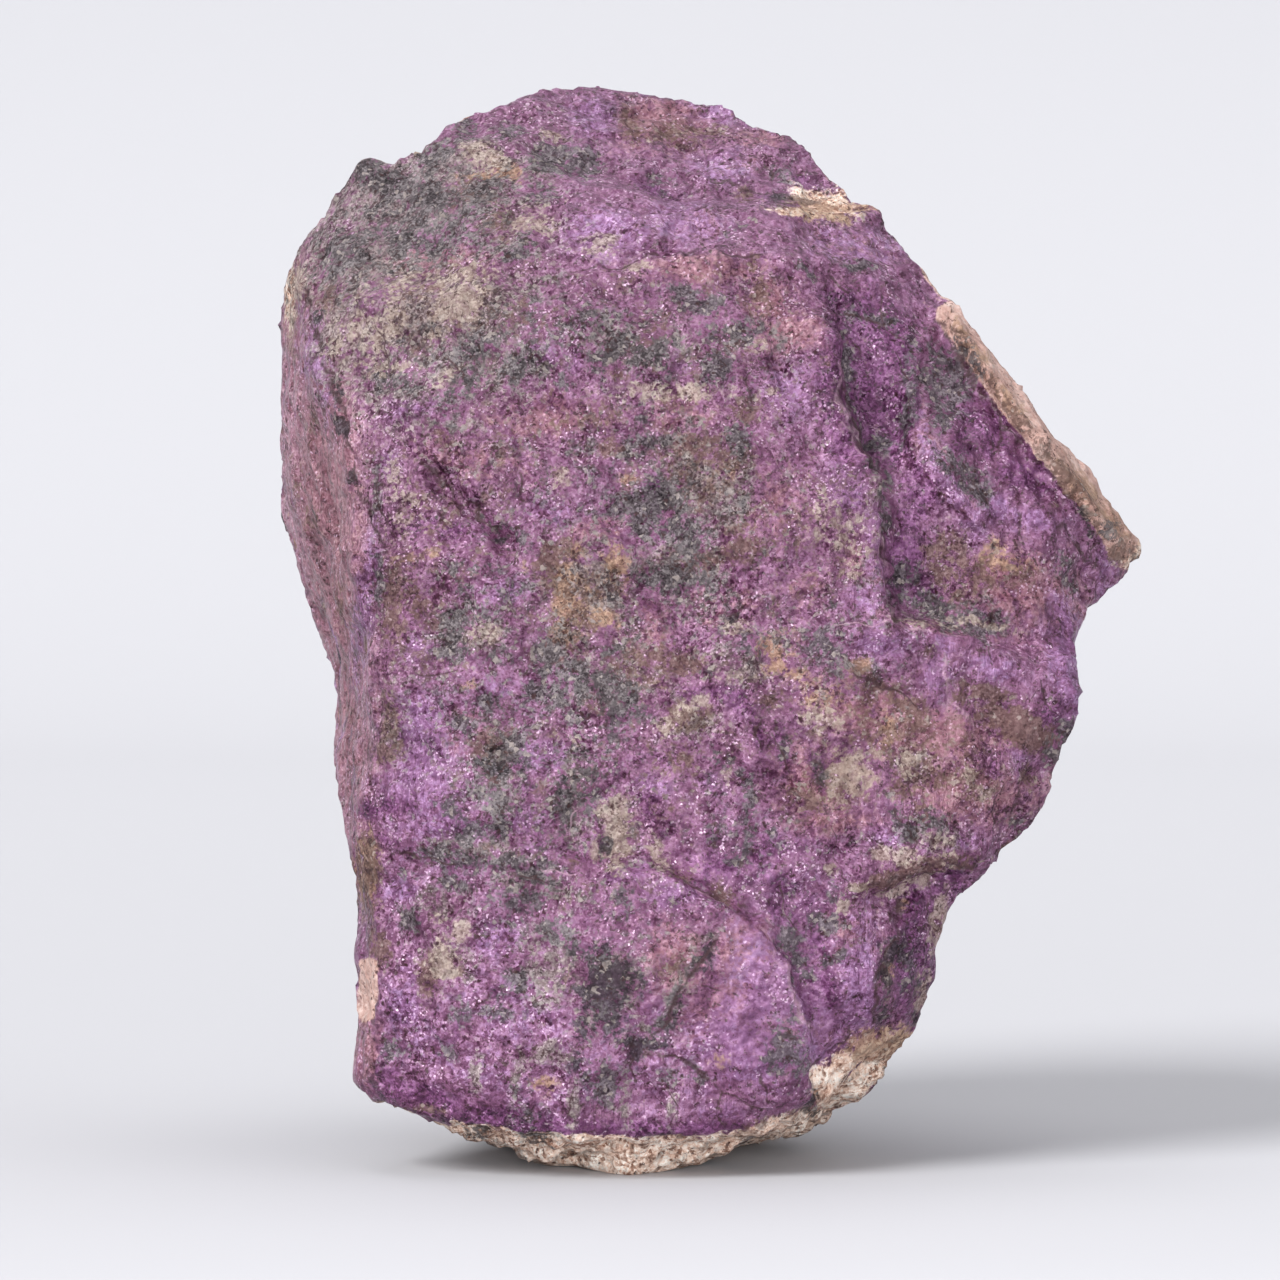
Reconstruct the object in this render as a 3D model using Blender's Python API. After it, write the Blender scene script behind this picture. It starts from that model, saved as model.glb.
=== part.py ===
"""A rough purpurite stone, standing on the small flat spot of its pale crust.

The stone is one natural solid. Its surface is drawn in two halves that share one outline: the
side towards the viewer and the side away from them. Each half is a net of hand-placed points.
Lines of points marked as ledges stay crisp, and the rest is refined, eased and roughened.
"""
import math

import bmesh
import bpy
from mathutils import Vector, geometry, noise

# Lengths below are in millimetres, and the finished mesh is scaled to metres.
METRES_PER_MILLIMETRE = 0.001

# The near half is given as it lines up for an eye in front of the stone: how far across and how
# far up each point appears on the stone's middle plane, then its true depth behind that plane.
EYE_DISTANCE = 290.0
EYE_HEIGHT = 38.2

# Working of the surface.
NOISE_SEED = 7
LONGEST_EDGE = 2.6
SHORTEST_EDGE = 0.05
REFINING_RATIO = 1.6
JOINING_DISTANCE = 0.0001
EASING_ROUNDS = 3
EASING_STRENGTH = 0.5
OUTLINE_HOLD = 0.92
SWELL_SIZE = 10.0
SWELL_HEIGHT = 0.9
CHIP_SIZES_AND_HEIGHTS = [(6.5, 1.5), (3.2, 0.8)]
CHIP_WARP = 2.0
CRUST_LUMP_SIZE = 3.4
CRUST_LUMP_HEIGHT = 0.55
LEDGE_ROUGHNESS = 0.3
GROOVE_HALF_WIDTH = 0.8
GROOVE_DEPTH = 1.1
PIT_CORNERS = 6
PIT_DEPTH = 1.3
SHARP_ANGLE = math.radians(18.0)
RESTING_LEVEL = 0.0
RESTING_MARGIN = 0.15

STONE_COLOUR = (0.235, 0.105, 0.205, 1.0)
STONE_ROUGHNESS = 0.62

# Outline of the stone, clockwise as seen from the front, from the upper left corner.
OUTLINE_OF_STONE = [
    (-22.8, 63.7, 4.0), (-21.5, 65.9, 3.0), (-20.0, 67.6, 2.0), (-18.4, 68.2, 2.0),
    (-17.1, 68.1, 1.0), (-15.8, 69.1, 1.0), (-13.9, 69.8, 1.5), (-13.0, 71.1, 2.5),
    (-11.4, 71.8, 3.5), (-8.9, 72.4, 5.0), (-7.3, 72.8, 6.5), (-5.9, 73.3, 8.0),
    (-2.8, 73.5, 9.0), (0.7, 73.1, 9.0), (4.2, 72.6, 8.0), (6.3, 71.9, 7.0),
    (7.8, 71.1, 6.0), (10.6, 70.2, 4.5), (12.0, 69.0, 3.0), (13.2, 67.4, 1.5),
    (14.6, 65.9, 0.0), (16.0, 65.1, -1.0), (17.4, 63.4, -2.0), (18.8, 61.9, -3.0),
    (20.1, 60.3, -4.0), (21.5, 58.8, -4.5), (22.9, 57.4, -5.0), (25.7, 53.4, -5.5),
    (28.5, 49.7, -6.0), (31.2, 46.7, -6.0), (32.6, 44.9, -5.5), (34.2, 43.1, -5.0),
    (35.0, 41.3, -4.5), (34.1, 39.7, -5.0), (32.5, 38.1, -6.5), (31.2, 37.3, -8.0),
    (30.3, 35.4, -10.0), (30.6, 33.7, -12.5), (30.8, 31.6, -14.0), (30.5, 30.1, -14.0),
    (29.6, 27.8, -13.5), (28.6, 24.7, -13.0), (27.8, 23.1, -12.5), (26.8, 21.9, -12.5),
    (25.2, 20.4, -12.5), (24.2, 19.3, -12.0), (22.8, 17.7, -11.5), (21.7, 16.2, -11.5),
    (20.6, 13.9, -11.5), (20.6, 11.8, -11.0), (19.7, 9.4, -10.0), (19.2, 7.7, -9.5),
    (18.3, 6.5, -9.0), (17.4, 5.1, -8.0), (16.0, 3.7, -7.0), (14.6, 2.7, -6.0),
    (13.5, 2.1, -5.0), (13.1, 1.1, -4.0), (12.0, 0.8, -2.0), (9.4, 0.7, -1.5),
    (7.2, 0.0, -3.0), (4.7, -1.1, -8.0), (3.5, -1.6, -10.5), (1.5, -1.9, -13.5),
    (-0.8, -2.3, -15.2), (-3.1, -1.8, -13.0), (-6.4, -1.4, -10.5), (-9.0, -0.4, -9.0),
    (-11.1, 0.2, -9.5), (-12.3, 0.9, -12.0), (-13.2, 1.4, -16.0), (-14.9, 2.1, -15.6),
    (-17.0, 2.7, -15.2),
    (-19.0, 3.3, -13.0), (-19.8, 4.7, -11.0), (-20.0, 6.7, -9.5), (-19.9, 9.4, -8.5),
    (-19.8, 13.6, -8.0), (-19.9, 17.0, -6.0), (-20.4, 20.2, -2.0), (-20.7, 22.9, 3.0),
    (-20.8, 24.7, 7.0), (-21.2, 27.4, 11.0), (-21.0, 30.9, 14.0), (-21.4, 33.0, 15.0),
    (-22.5, 35.8, 15.0), (-23.4, 39.2, 14.0), (-24.0, 41.3, 14.0), (-25.0, 43.8, 13.0),
    (-25.2, 46.9, 12.0), (-25.2, 50.4, 11.0), (-25.0, 54.5, 10.0), (-24.8, 58.0, 9.0),
    (-24.3, 60.6, 7.0), (-23.6, 62.3, 5.5),
]

# Crisp lines of the near half: across, up, depth.
NEAR_LEDGES = {
    "left edge": [
        (-23.5, 59.4, -2.0), (-23.2, 56.5, -6.0), (-22.3, 52.5, -9.5), (-20.8, 49.6, -12.0),
        (-20.0, 44.7, -13.0), (-20.0, 40.6, -13.5), (-19.0, 36.5, -14.0), (-18.6, 30.9, -14.2),
        (-18.6, 26.4, -14.2), (-19.4, 23.5, -13.5), (-19.7, 21.2, -12.5), (-18.6, 17.7, -14.0),
        (-18.2, 13.6, -15.0), (-18.2, 9.4, -15.2), (-18.8, 5.9, -14.8),
    ],
    "brow": [
        (-20.4, 58.8, -8.0), (-16.6, 58.5, -11.0), (-11.1, 59.7, -12.0), (-5.2, 61.1, -11.5),
        (0.0, 61.6, -11.5), (3.1, 62.1, -11.3), (9.5, 61.9, -11.0), (14.6, 61.3, -9.0),
    ],
    "cap ledge": [
        (-9.7, 69.8, -1.0), (-8.2, 68.9, -3.0), (-6.4, 67.9, -4.5), (-4.2, 66.7, -6.0),
        (-1.9, 66.5, -6.3), (-0.3, 66.2, -6.5), (2.0, 65.2, -7.0), (6.4, 65.0, -6.8),
        (9.5, 65.3, -6.0), (14.2, 64.2, -4.0),
    ],
    "cap foot": [
        (-9.2, 70.5, 1.0), (-7.8, 69.6, -0.3), (-6.0, 68.6, -1.3), (-4.0, 67.4, -2.3),
        (-1.8, 67.2, -2.6), (-0.1, 66.9, -2.8), (2.1, 65.9, -3.3), (6.4, 65.7, -3.3),
        (9.4, 66.0, -2.8), (13.6, 65.4, -1.5),
    ],
    "step edge": [
        (9.5, 58.1, -12.7), (11.9, 57.0, -12.8), (13.2, 55.8, -13.0), (13.5, 52.5, -14.0),
        (14.0, 50.2, -14.6), (15.4, 47.6, -15.0), (16.7, 44.8, -15.5), (17.0, 39.7, -16.0),
        (17.3, 37.0, -16.3),
    ],
    "step foot": [
        (12.8, 57.9, -11.6), (14.2, 56.2, -10.6), (14.6, 52.6, -10.8), (15.1, 50.4, -11.3),
        (16.5, 48.0, -12.0), (17.7, 44.9, -12.6), (18.0, 39.8, -13.2), (18.5, 37.1, -13.5),
    ],
    "shelf edge": [
        (13.9, 35.9, -16.6), (17.9, 36.0, -16.6), (20.6, 35.8, -16.2), (23.7, 34.8, -15.8),
        (27.3, 33.9, -15.0), (29.3, 33.7, -14.3),
    ],
    "shelf foot": [
        (20.8, 36.6, -14.0), (23.9, 35.6, -13.6), (27.4, 34.7, -12.8), (29.3, 34.8, -11.8),
    ],
    "recess ridge": [
        (18.4, 53.7, -10.2), (18.9, 52.1, -11.4), (20.1, 48.3, -13.0), (22.5, 45.2, -13.8),
        (24.0, 44.0, -13.6),
    ],
    "rind crack": [
        (20.3, 58.3, -6.6), (22.0, 55.4, -7.6), (24.7, 51.5, -8.6), (25.9, 49.6, -9.2),
        (27.3, 47.6, -9.4), (29.4, 45.2, -9.4), (30.6, 43.6, -9.2), (31.9, 42.2, -8.6),
    ],
    "rind ridge": [
        (21.0, 58.6, -7.4), (22.8, 55.7, -8.8), (25.5, 51.9, -9.9), (26.7, 50.0, -10.4),
        (28.1, 48.0, -10.7), (30.1, 45.7, -10.7), (31.4, 44.1, -10.4), (32.8, 42.4, -9.2),
    ],
    "side groove": [
        (15.1, 33.1, -16.7), (19.2, 31.1, -16.3), (21.8, 30.2, -16.0), (24.4, 28.5, -15.6),
        (27.8, 27.8, -14.8),
    ],
    "right break": [
        (15.1, 17.8, -16.6), (16.5, 18.6, -16.5), (19.1, 19.3, -16.0), (21.0, 19.8, -15.6),
        (23.6, 20.2, -14.2),
    ],
    "right break foot": [
        (16.8, 17.6, -15.0), (19.3, 18.4, -13.8), (21.3, 18.9, -13.2),
    ],
    "matrix edge": [
        (17.5, 16.0, -15.8), (17.9, 14.5, -15.8), (16.7, 12.9, -16.0), (16.7, 10.6, -15.8),
        (16.4, 8.4, -15.2), (14.8, 7.9, -15.6), (14.2, 6.5, -15.3), (12.5, 5.8, -15.8),
        (11.7, 4.2, -16.0), (11.3, 2.4, -15.0),
    ],
    "plate edge": [
        (-2.8, 20.1, -18.0), (-1.0, 19.7, -18.2), (0.3, 20.0, -18.2), (1.5, 18.9, -18.4),
        (3.1, 18.2, -18.5), (5.4, 17.0, -18.5), (6.7, 16.2, -18.5), (8.9, 15.0, -18.3),
        (9.5, 12.9, -18.2), (10.3, 11.3, -18.0), (11.0, 9.2, -17.7), (11.3, 6.8, -17.2),
    ],
    "plate foot": [
        (-0.8, 20.4, -17.2), (0.7, 20.7, -17.1), (2.0, 19.6, -17.2), (3.5, 18.9, -17.2),
        (5.8, 17.6, -17.2), (7.2, 16.8, -17.2), (9.6, 15.4, -17.0), (10.2, 13.1, -16.9),
        (11.0, 11.6, -16.7), (11.8, 9.4, -16.4), (12.1, 7.2, -16.2),
    ],
    "plate seam": [
        (-17.6, 18.8, -15.4), (-13.2, 19.3, -17.0), (-8.3, 19.0, -17.8), (-5.5, 19.4, -18.0),
    ],
    "bottom edge": [
        (-12.1, 1.55, -16.5), (-10.6, 1.35, -17.0), (-7.9, 1.0, -17.5), (-5.0, 0.7, -17.9),
        (-2.1, 0.6, -18.1), (0.9, 0.5, -18.1), (3.8, 0.7, -17.8), (6.6, 0.9, -17.2),
        (9.0, 1.1, -16.4), (10.6, 1.9, -15.4),
    ],
}

# Where the outline runs over the crust.
BOTTOM_CRUST_TOP = 1.6
BOTTOM_CRUST_LEFT = -13.0
SIDE_CRUST_LEFT = 12.5
RIND_BOTTOM = 39.0
MATRIX_TOP = 9.0

# Lines of the near half on the pale crust, where the surface is lumpy.
NEAR_CRUST_LEDGES = {
    "crust recess": [
        (-11.5, 1.05, -13.2), (-7.9, 0.3, -14.0), (-5.0, 0.0, -14.8), (-2.1, -0.1, -15.2),
        (0.9, -0.2, -15.2), (3.8, 0.0, -14.6), (6.6, 0.35, -12.5), (9.6, 0.9, -9.0),
        (11.6, 1.5, -9.0),
    ],
}

# Grooves of the near half, each given by the line that it follows.
NEAR_GROOVES = {
    "diagonal groove": [
        (-15.4, 47.6, -14.3), (-14.2, 46.5, -14.6), (-12.4, 45.0, -15.0), (-10.7, 43.3, -15.3),
        (-8.9, 41.5, -15.7), (-7.3, 39.9, -16.0),
    ],
}

# Open pits of the near half: middle across, up and depth, then half width and half height.
NEAR_PITS = [
    (-2.5, 21.4, -17.6, 0.6, 0.9),
]

NEAR_POINTS = [
    # Left side, seen at a low angle.
    (-24.1, 56.0, 1.5), (-23.2, 51.8, -4.5), (-24.5, 51.0, 3.5), (-22.0, 47.5, -6.5),
    (-24.1, 46.5, 3.0), (-21.4, 42.8, -6.0), (-23.3, 42.0, 4.5), (-20.7, 38.0, -7.5),
    (-22.2, 37.5, 3.5), (-19.7, 33.2, -7.5), (-20.8, 32.8, 5.0), (-19.6, 28.6, -8.5),
    (-20.6, 28.2, 2.5), (-20.1, 24.5, -6.5), (-19.6, 19.1, -9.5), (-19.1, 12.9, -12.0),
    (-19.4, 8.0, -12.0),
    # Narrow bevel between the left side and the main face.
    (-18.0, 42.0, -15.0), (-17.8, 38.1, -15.3), (-18.0, 32.3, -15.3),
    # Grey bevel at the upper left.
    (-20.8, 62.8, -2.5), (-16.6, 63.5, -5.0), (-12.5, 65.6, -5.5), (-13.9, 68.4, -1.0),
    (-9.7, 65.6, -7.0), (-18.0, 66.3, -0.5), (-9.4, 62.1, -10.5),
    # Band between the brow and the cap.
    (-5.5, 64.6, -8.0), (-0.7, 63.9, -9.2), (5.6, 63.5, -9.2), (11.1, 63.2, -7.5),
    # Cap, set back behind its ledge.
    (-5.5, 70.8, 3.5), (-1.4, 69.8, 2.0), (4.2, 69.1, 1.0), (8.3, 68.0, 0.0),
    (11.1, 67.0, -0.5), (0.0, 71.9, 6.0),
    # Main face.
    (-13.9, 55.2, -13.0), (-8.3, 55.9, -13.8), (-2.8, 55.9, -14.2), (3.5, 57.3, -13.8),
    (7.0, 53.1, -14.8), (0.0, 49.7, -15.5), (-6.9, 49.7, -15.0), (-13.9, 49.7, -14.2),
    (-17.3, 52.4, -12.8), (10.4, 46.2, -15.7), (5.6, 44.1, -16.0), (-2.8, 43.4, -16.2),
    (-7.4, 45.2, -15.6), (-15.3, 43.4, -15.0), (-12.0, 41.0, -15.5), (12.5, 39.9, -16.2),
    (4.2, 37.2, -16.6), (-3.5, 36.5, -16.6), (-11.1, 36.5, -16.2), (-15.9, 35.1, -15.8),
    (9.7, 31.6, -17.0), (1.4, 30.2, -17.0), (-6.2, 29.5, -17.0), (-13.2, 28.1, -16.6),
    (16.0, 28.1, -17.0), (7.0, 24.7, -17.2), (-1.4, 24.7, -17.2), (-9.0, 24.0, -17.0),
    (-15.3, 23.3, -16.0), (15.3, 22.6, -17.0), (11.1, 19.1, -17.3),
    # Recess behind the step, and the facet above it.
    (15.3, 58.9, -10.2), (18.1, 56.6, -9.4), (16.7, 51.7, -10.2), (18.0, 48.3, -11.5),
    (20.3, 44.8, -12.2), (21.9, 42.8, -12.6), (21.5, 39.6, -13.4), (25.7, 42.0, -12.8),
    (28.8, 40.6, -11.8), (25.0, 37.9, -13.8), (29.2, 37.2, -11.6), (20.5, 51.7, -11.0),
    (22.2, 49.7, -11.3), (25.0, 46.2, -11.8), (28.5, 43.4, -11.3),
    # Facets below the shelf, down to the right outline.
    (25.7, 30.3, -16.2), (25.0, 24.7, -15.8), (21.0, 24.0, -16.4), (25.0, 22.2, -14.6),
    (19.5, 27.0, -16.7),
    # Dark facet at the lower right.
    (19.8, 15.0, -13.2), (18.9, 11.5, -13.0), (18.2, 8.9, -12.0),
    # Strip between the plate and the dark facet.
    (13.9, 12.9, -16.8), (14.2, 10.0, -16.4), (12.5, 15.7, -17.2),
    # Smooth lower plate.
    (-13.2, 13.6, -17.6), (-5.5, 15.0, -18.6), (1.4, 12.9, -19.2), (-2.8, 8.7, -19.2),
    (4.9, 8.0, -19.0), (-11.1, 6.6, -18.2), (-15.3, 8.7, -17.2), (0.0, 3.9, -19.0),
    (-6.9, 3.9, -18.6), (7.0, 3.9, -18.3),
]

NEAR_CRUST_POINTS = [
    # Tip of the rind at the right.
    (33.3, 40.6, -8.0),
    # Matrix lump at the lower right.
    (17.0, 7.0, -12.8), (15.4, 5.8, -13.6), (13.8, 4.2, -13.4), (15.3, 3.9, -10.8),
    (12.9, 2.6, -11.5),
    # Crust below the bottom edge.
    (-2.8, -0.9, -15.7), (0.7, -0.9, -15.7), (-6.6, -0.45, -13.2), (4.0, -0.55, -12.5),
]

# The far half is given in true places: across, depth behind the middle plane, height.
FAR_LEDGES = {
    "back rim": [
        (-21.0, 17.5, 52.0), (-15.0, 18.5, 55.0), (-7.0, 18.8, 58.5), (0.0, 18.0, 60.0),
        (7.0, 15.5, 58.0), (12.0, 14.5, 52.0),
    ],
    "back corner": [
        (14.0, 16.0, 45.0), (13.0, 17.0, 38.0), (11.0, 17.5, 31.0), (9.0, 16.0, 24.0),
        (9.5, 13.0, 16.0),
    ],
    "back step": [
        (-17.0, 19.0, 33.0), (-11.0, 19.0, 30.0), (-5.0, 19.3, 29.0), (1.0, 18.8, 30.0),
    ],
    "back step foot": [
        (-16.0, 17.0, 31.6), (-10.5, 16.8, 28.7), (-4.8, 17.2, 27.6), (1.2, 17.0, 28.4),
    ],
}

FAR_POINTS = [
    # Upper left shoulder and the slope behind the cap.
    (-18.0, 8.5, 64.0), (-21.5, 13.0, 58.5), (-12.0, 11.5, 67.0), (-15.0, 15.0, 61.0),
    (-6.0, 14.0, 69.0), (-3.0, 17.0, 64.5), (3.0, 14.5, 67.5), (8.0, 11.5, 67.0),
    # Back of the left side.
    (-23.0, 16.5, 45.0), (-22.0, 18.0, 38.0), (-19.0, 19.0, 45.0),
    # Main back face.
    (-9.0, 19.2, 50.0), (1.0, 19.0, 50.0), (-12.0, 19.5, 40.0), (-2.0, 20.0, 40.0),
    (6.0, 18.8, 38.0), (6.0, 18.6, 47.0),
    # Face below the back step.
    (-17.5, 12.5, 24.0), (-11.0, 15.5, 21.0), (-3.0, 16.0, 20.0), (4.0, 15.5, 20.0),
    (-17.5, 3.0, 18.0), (-16.5, 7.0, 12.0), (-10.0, 12.5, 12.0), (-1.0, 14.0, 11.0),
    (5.0, 13.0, 10.0), (-17.8, -2.0, 10.0),
    # Right side, behind the spike and down to the dark facet.
    (28.5, -8.0, 33.0), (27.5, 0.0, 34.0), (23.0, 7.0, 33.0), (18.0, 12.0, 36.0),
    (26.5, -5.0, 26.0), (22.5, 2.5, 26.0), (17.0, 9.0, 24.0), (20.0, -4.0, 16.5),
    (17.5, 3.0, 16.0), (13.5, 8.5, 14.0), (30.5, -3.0, 38.0),
]

FAR_CRUST_POINTS = [
    # Crust on the upper right side.
    (13.0, 6.0, 65.0), (11.5, 10.5, 61.0), (19.5, 1.5, 58.5), (16.5, 8.0, 55.0),
    (24.5, 0.5, 51.5), (20.5, 8.0, 47.5), (29.5, 0.0, 45.0), (25.5, 6.0, 41.5),
    (32.0, 0.0, 41.2),
    # Underside around the resting patch.
    (-16.5, -8.0, 4.4), (-13.5, -3.0, 3.4), (-15.0, 2.0, 5.8), (-12.5, 6.0, 3.6),
    (-13.0, 8.5, 6.5), (-9.0, 11.2, 4.4), (1.0, 12.4, 4.6), (8.5, 11.0, 5.4),
    (12.0, 6.5, 3.4), (11.0, 1.5, 1.9), (14.5, 0.5, 4.6), (16.5, -3.0, 8.0),
]

# The resting patch, drawn a little below the level where the stone is cut flat.
RESTING_PATCH = [
    (-0.6, -12.0, -0.4), (2.4, -8.5, -0.4), (4.8, -2.3, -0.4), (7.2, 4.5, -0.4),
    (9.0, 8.0, -0.4), (2.0, 10.0, -0.4), (-7.5, 9.0, -0.4), (-10.5, 6.5, -0.4),
    (-8.2, 2.0, -0.4), (-5.0, -7.5, -0.4),
]
RESTING_CENTRE = (-0.5, 1.5, -0.5)


class Net:
    """Points of one half, with the lines between them that triangles may not cross."""

    def __init__(self):
        self.points = []
        self.holds = []
        self.crusts = []
        self.lines = []

    def add_ledge(self, points, crust, closed=False):
        first = len(self.points)
        for point in points:
            self.add_point(point, 1.0, crust)
        last = len(self.points) - 1
        for number in range(first, last):
            self.lines.append((number, number + 1))
        if closed:
            self.lines.append((last, first))

    def add_point(self, point, hold, crust):
        self.points.append(point)
        self.holds.append(hold)
        self.crusts.append(crust)


def point_on_sight_line(across, up, depth):
    """True place of a point that is given by where it appears on the middle plane."""
    spread = (EYE_DISTANCE + depth) / EYE_DISTANCE
    return Vector((across * spread, depth, EYE_HEIGHT + (up - EYE_HEIGHT) * spread))


def appearance_on_middle_plane(point):
    """Where a true point appears on the middle plane, as a flat point."""
    spread = (EYE_DISTANCE + point.y) / EYE_DISTANCE
    return Vector((point.x / spread, EYE_HEIGHT + (point.z - EYE_HEIGHT) / spread))


def outline_crust(point):
    """Crust covers the bottom of the outline and its upper right side."""
    on_bottom = point.z < BOTTOM_CRUST_TOP and point.x > BOTTOM_CRUST_LEFT
    on_rind = point.x > SIDE_CRUST_LEFT and point.z > RIND_BOTTOM
    on_matrix = point.x > SIDE_CRUST_LEFT and point.z < MATRIX_TOP
    return 1.0 if on_bottom or on_rind or on_matrix else 0.0


def start_net():
    """A new half, holding only the outline that both halves share."""
    net = Net()
    outline = [point_on_sight_line(*place) for place in OUTLINE_OF_STONE]
    for point in outline:
        net.add_point(point, OUTLINE_HOLD, outline_crust(point))
    count = len(outline)
    net.lines = [(number, (number + 1) % count) for number in range(count)]
    return net


def add_groove(net, line):
    """A groove with two shoulders, which meet where the groove runs out."""
    places = [Vector(place) for place in line]
    upper = []
    lower = []
    bottom = []
    for before, here, after in zip(places, places[1:], places[2:]):
        along = (after.xy - before.xy).normalized()
        aside = Vector((-along.y, along.x, 0.0)) * GROOVE_HALF_WIDTH
        upper.append(here + aside)
        lower.append(here - aside)
        bottom.append(here + Vector((0.0, 0.0, GROOVE_DEPTH)))
    rim = [places[0]] + upper + [places[-1]] + lower[::-1]
    net.add_ledge([point_on_sight_line(*place) for place in rim], 0.0, closed=True)
    net.add_ledge([point_on_sight_line(*place) for place in bottom], 0.0)


def add_pit(net, across, up, depth, half_width, half_height):
    """A small open pit with one deepest point."""
    rim = []
    for corner in range(PIT_CORNERS):
        angle = math.tau * corner / PIT_CORNERS
        aside = half_width * math.cos(angle)
        above = half_height * math.sin(angle)
        rim.append(point_on_sight_line(across + aside, up + above, depth))
    net.add_ledge(rim, 0.0, closed=True)
    net.add_point(point_on_sight_line(across, up, depth + PIT_DEPTH), 1.0, 0.0)


def near_half():
    net = start_net()
    for line in NEAR_GROOVES.values():
        add_groove(net, line)
    for pit in NEAR_PITS:
        add_pit(net, *pit)
    for line in NEAR_LEDGES.values():
        net.add_ledge([point_on_sight_line(*place) for place in line], 0.0)
    for line in NEAR_CRUST_LEDGES.values():
        net.add_ledge([point_on_sight_line(*place) for place in line], 1.0)
    for place in NEAR_POINTS:
        net.add_point(point_on_sight_line(*place), 0.0, 0.0)
    for place in NEAR_CRUST_POINTS:
        net.add_point(point_on_sight_line(*place), 0.0, 1.0)
    return net


def far_half():
    net = start_net()
    for line in FAR_LEDGES.values():
        net.add_ledge([Vector(place) for place in line], 0.0)
    net.add_ledge([Vector(place) for place in RESTING_PATCH], 1.0, closed=True)
    net.add_point(Vector(RESTING_CENTRE), 1.0, 1.0)
    for place in FAR_POINTS:
        net.add_point(Vector(place), 0.0, 0.0)
    for place in FAR_CRUST_POINTS:
        net.add_point(Vector(place), 0.0, 1.0)
    return net


def triangles_of(net):
    """Triangles over the net as it appears from the front, with its lines kept as edges."""
    flat = [appearance_on_middle_plane(point) for point in net.points]
    outline = list(range(len(OUTLINE_OF_STONE)))
    result = geometry.delaunay_2d_cdt(flat, net.lines, [outline], 1, JOINING_DISTANCE)
    origins = result[3]
    if len(result[0]) != len(flat):
        raise ValueError("two lines of the net cross each other")
    return [[origins[corner][0] for corner in face] for face in result[2]]


def add_half(bm, net, outline_verts, facing_front):
    """Add one half of the surface to the mesh, joined along the outline."""
    hold = bm.verts.layers.float["hold"]
    crust = bm.verts.layers.float["crust"]
    verts = list(outline_verts)
    for number in range(len(outline_verts), len(net.points)):
        verts.append(bm.verts.new(net.points[number]))
    for vert, held, crusted in zip(verts, net.holds, net.crusts):
        vert[hold] = held
        vert[crust] = crusted
    for triangle in triangles_of(net):
        corners = [verts[number] for number in triangle]
        face = bm.faces.new(corners)
        face.normal_update()
        if (face.normal.y < 0.0) != facing_front:
            face.normal_flip()
    for start, end in net.lines:
        bm.edges.get((verts[start], verts[end])).smooth = False


def build_cage(bm):
    """The coarse closed surface that the whole stone is worked from."""
    bm.verts.layers.float.new("hold")
    bm.verts.layers.float.new("crust")
    near = near_half()
    far = far_half()
    outline_verts = [bm.verts.new(point) for point in near.points[:len(OUTLINE_OF_STONE)]]
    add_half(bm, near, outline_verts, True)
    add_half(bm, far, outline_verts, False)
    bmesh.ops.recalc_face_normals(bm, faces=bm.faces)


def even_out(bm):
    """Turn edges so that triangles are less narrow, and leave the crisp lines alone."""
    free_edges = [edge for edge in bm.edges if edge.smooth]
    bmesh.ops.beautify_fill(bm, faces=bm.faces[:], edges=free_edges)


def refine(bm):
    """Halve the long edges, longest first, until none is longer than wanted."""
    limit = max(edge.calc_length() for edge in bm.edges) / 2.0
    while limit > LONGEST_EDGE:
        limit = max(limit / REFINING_RATIO, LONGEST_EDGE)
        long_edges = [edge for edge in bm.edges if edge.calc_length() > limit]
        bmesh.ops.subdivide_edges(bm, edges=long_edges, cuts=1)
        bmesh.ops.triangulate(bm, faces=bm.faces)
        even_out(bm)


def ease(bm):
    """Move each point part of the way to the middle of its neighbours, ledges less."""
    hold = bm.verts.layers.float["hold"]
    for _ in range(EASING_ROUNDS):
        targets = []
        for vert in bm.verts:
            neighbours = [edge.other_vert(vert).co for edge in vert.link_edges]
            middle = sum(neighbours, Vector()) / len(neighbours)
            share = EASING_STRENGTH * (1.0 - vert[hold])
            targets.append(vert.co.lerp(middle, share))
        for vert, target in zip(bm.verts, targets):
            vert.co = target


def chip_height(place):
    """Shallow bowls that meet in ridges, as where chips have come off."""
    warped = place + noise.noise_vector(place / SWELL_SIZE) * CHIP_WARP
    height = 0.0
    for size, full_height in CHIP_SIZES_AND_HEIGHTS:
        nearest = noise.voronoi(warped / size)[0][0]
        height += full_height * (nearest - 0.5)
    return height


def surface_height(place, crust):
    """Height of the rough surface over the eased one, in millimetres."""
    swell = SWELL_HEIGHT * noise.noise(place / SWELL_SIZE)
    lumps = CRUST_LUMP_HEIGHT * crust * noise.noise(place / CRUST_LUMP_SIZE)
    return swell + chip_height(place) + lumps


def outward(vert):
    """Direction away from the stone at a point, from the faces around it, large ones most."""
    total = Vector()
    for face in vert.link_faces:
        total += face.normal * face.calc_area()
    return total.normalized()


def roughen(bm):
    """Push every point in or out by the rough surface's height."""
    hold = bm.verts.layers.float["hold"]
    crust = bm.verts.layers.float["crust"]
    for face in bm.faces:
        face.normal_update()
    moves = []
    for vert in bm.verts:
        amount = 1.0 - (1.0 - LEDGE_ROUGHNESS) * vert[hold]
        moves.append(outward(vert) * surface_height(vert.co, vert[crust]) * amount)
    for vert, move in zip(bm.verts, moves):
        vert.co += move


def lies_level(face):
    return all(abs(vert.co.z - RESTING_LEVEL) < JOINING_DISTANCE for vert in face.verts)


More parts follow.
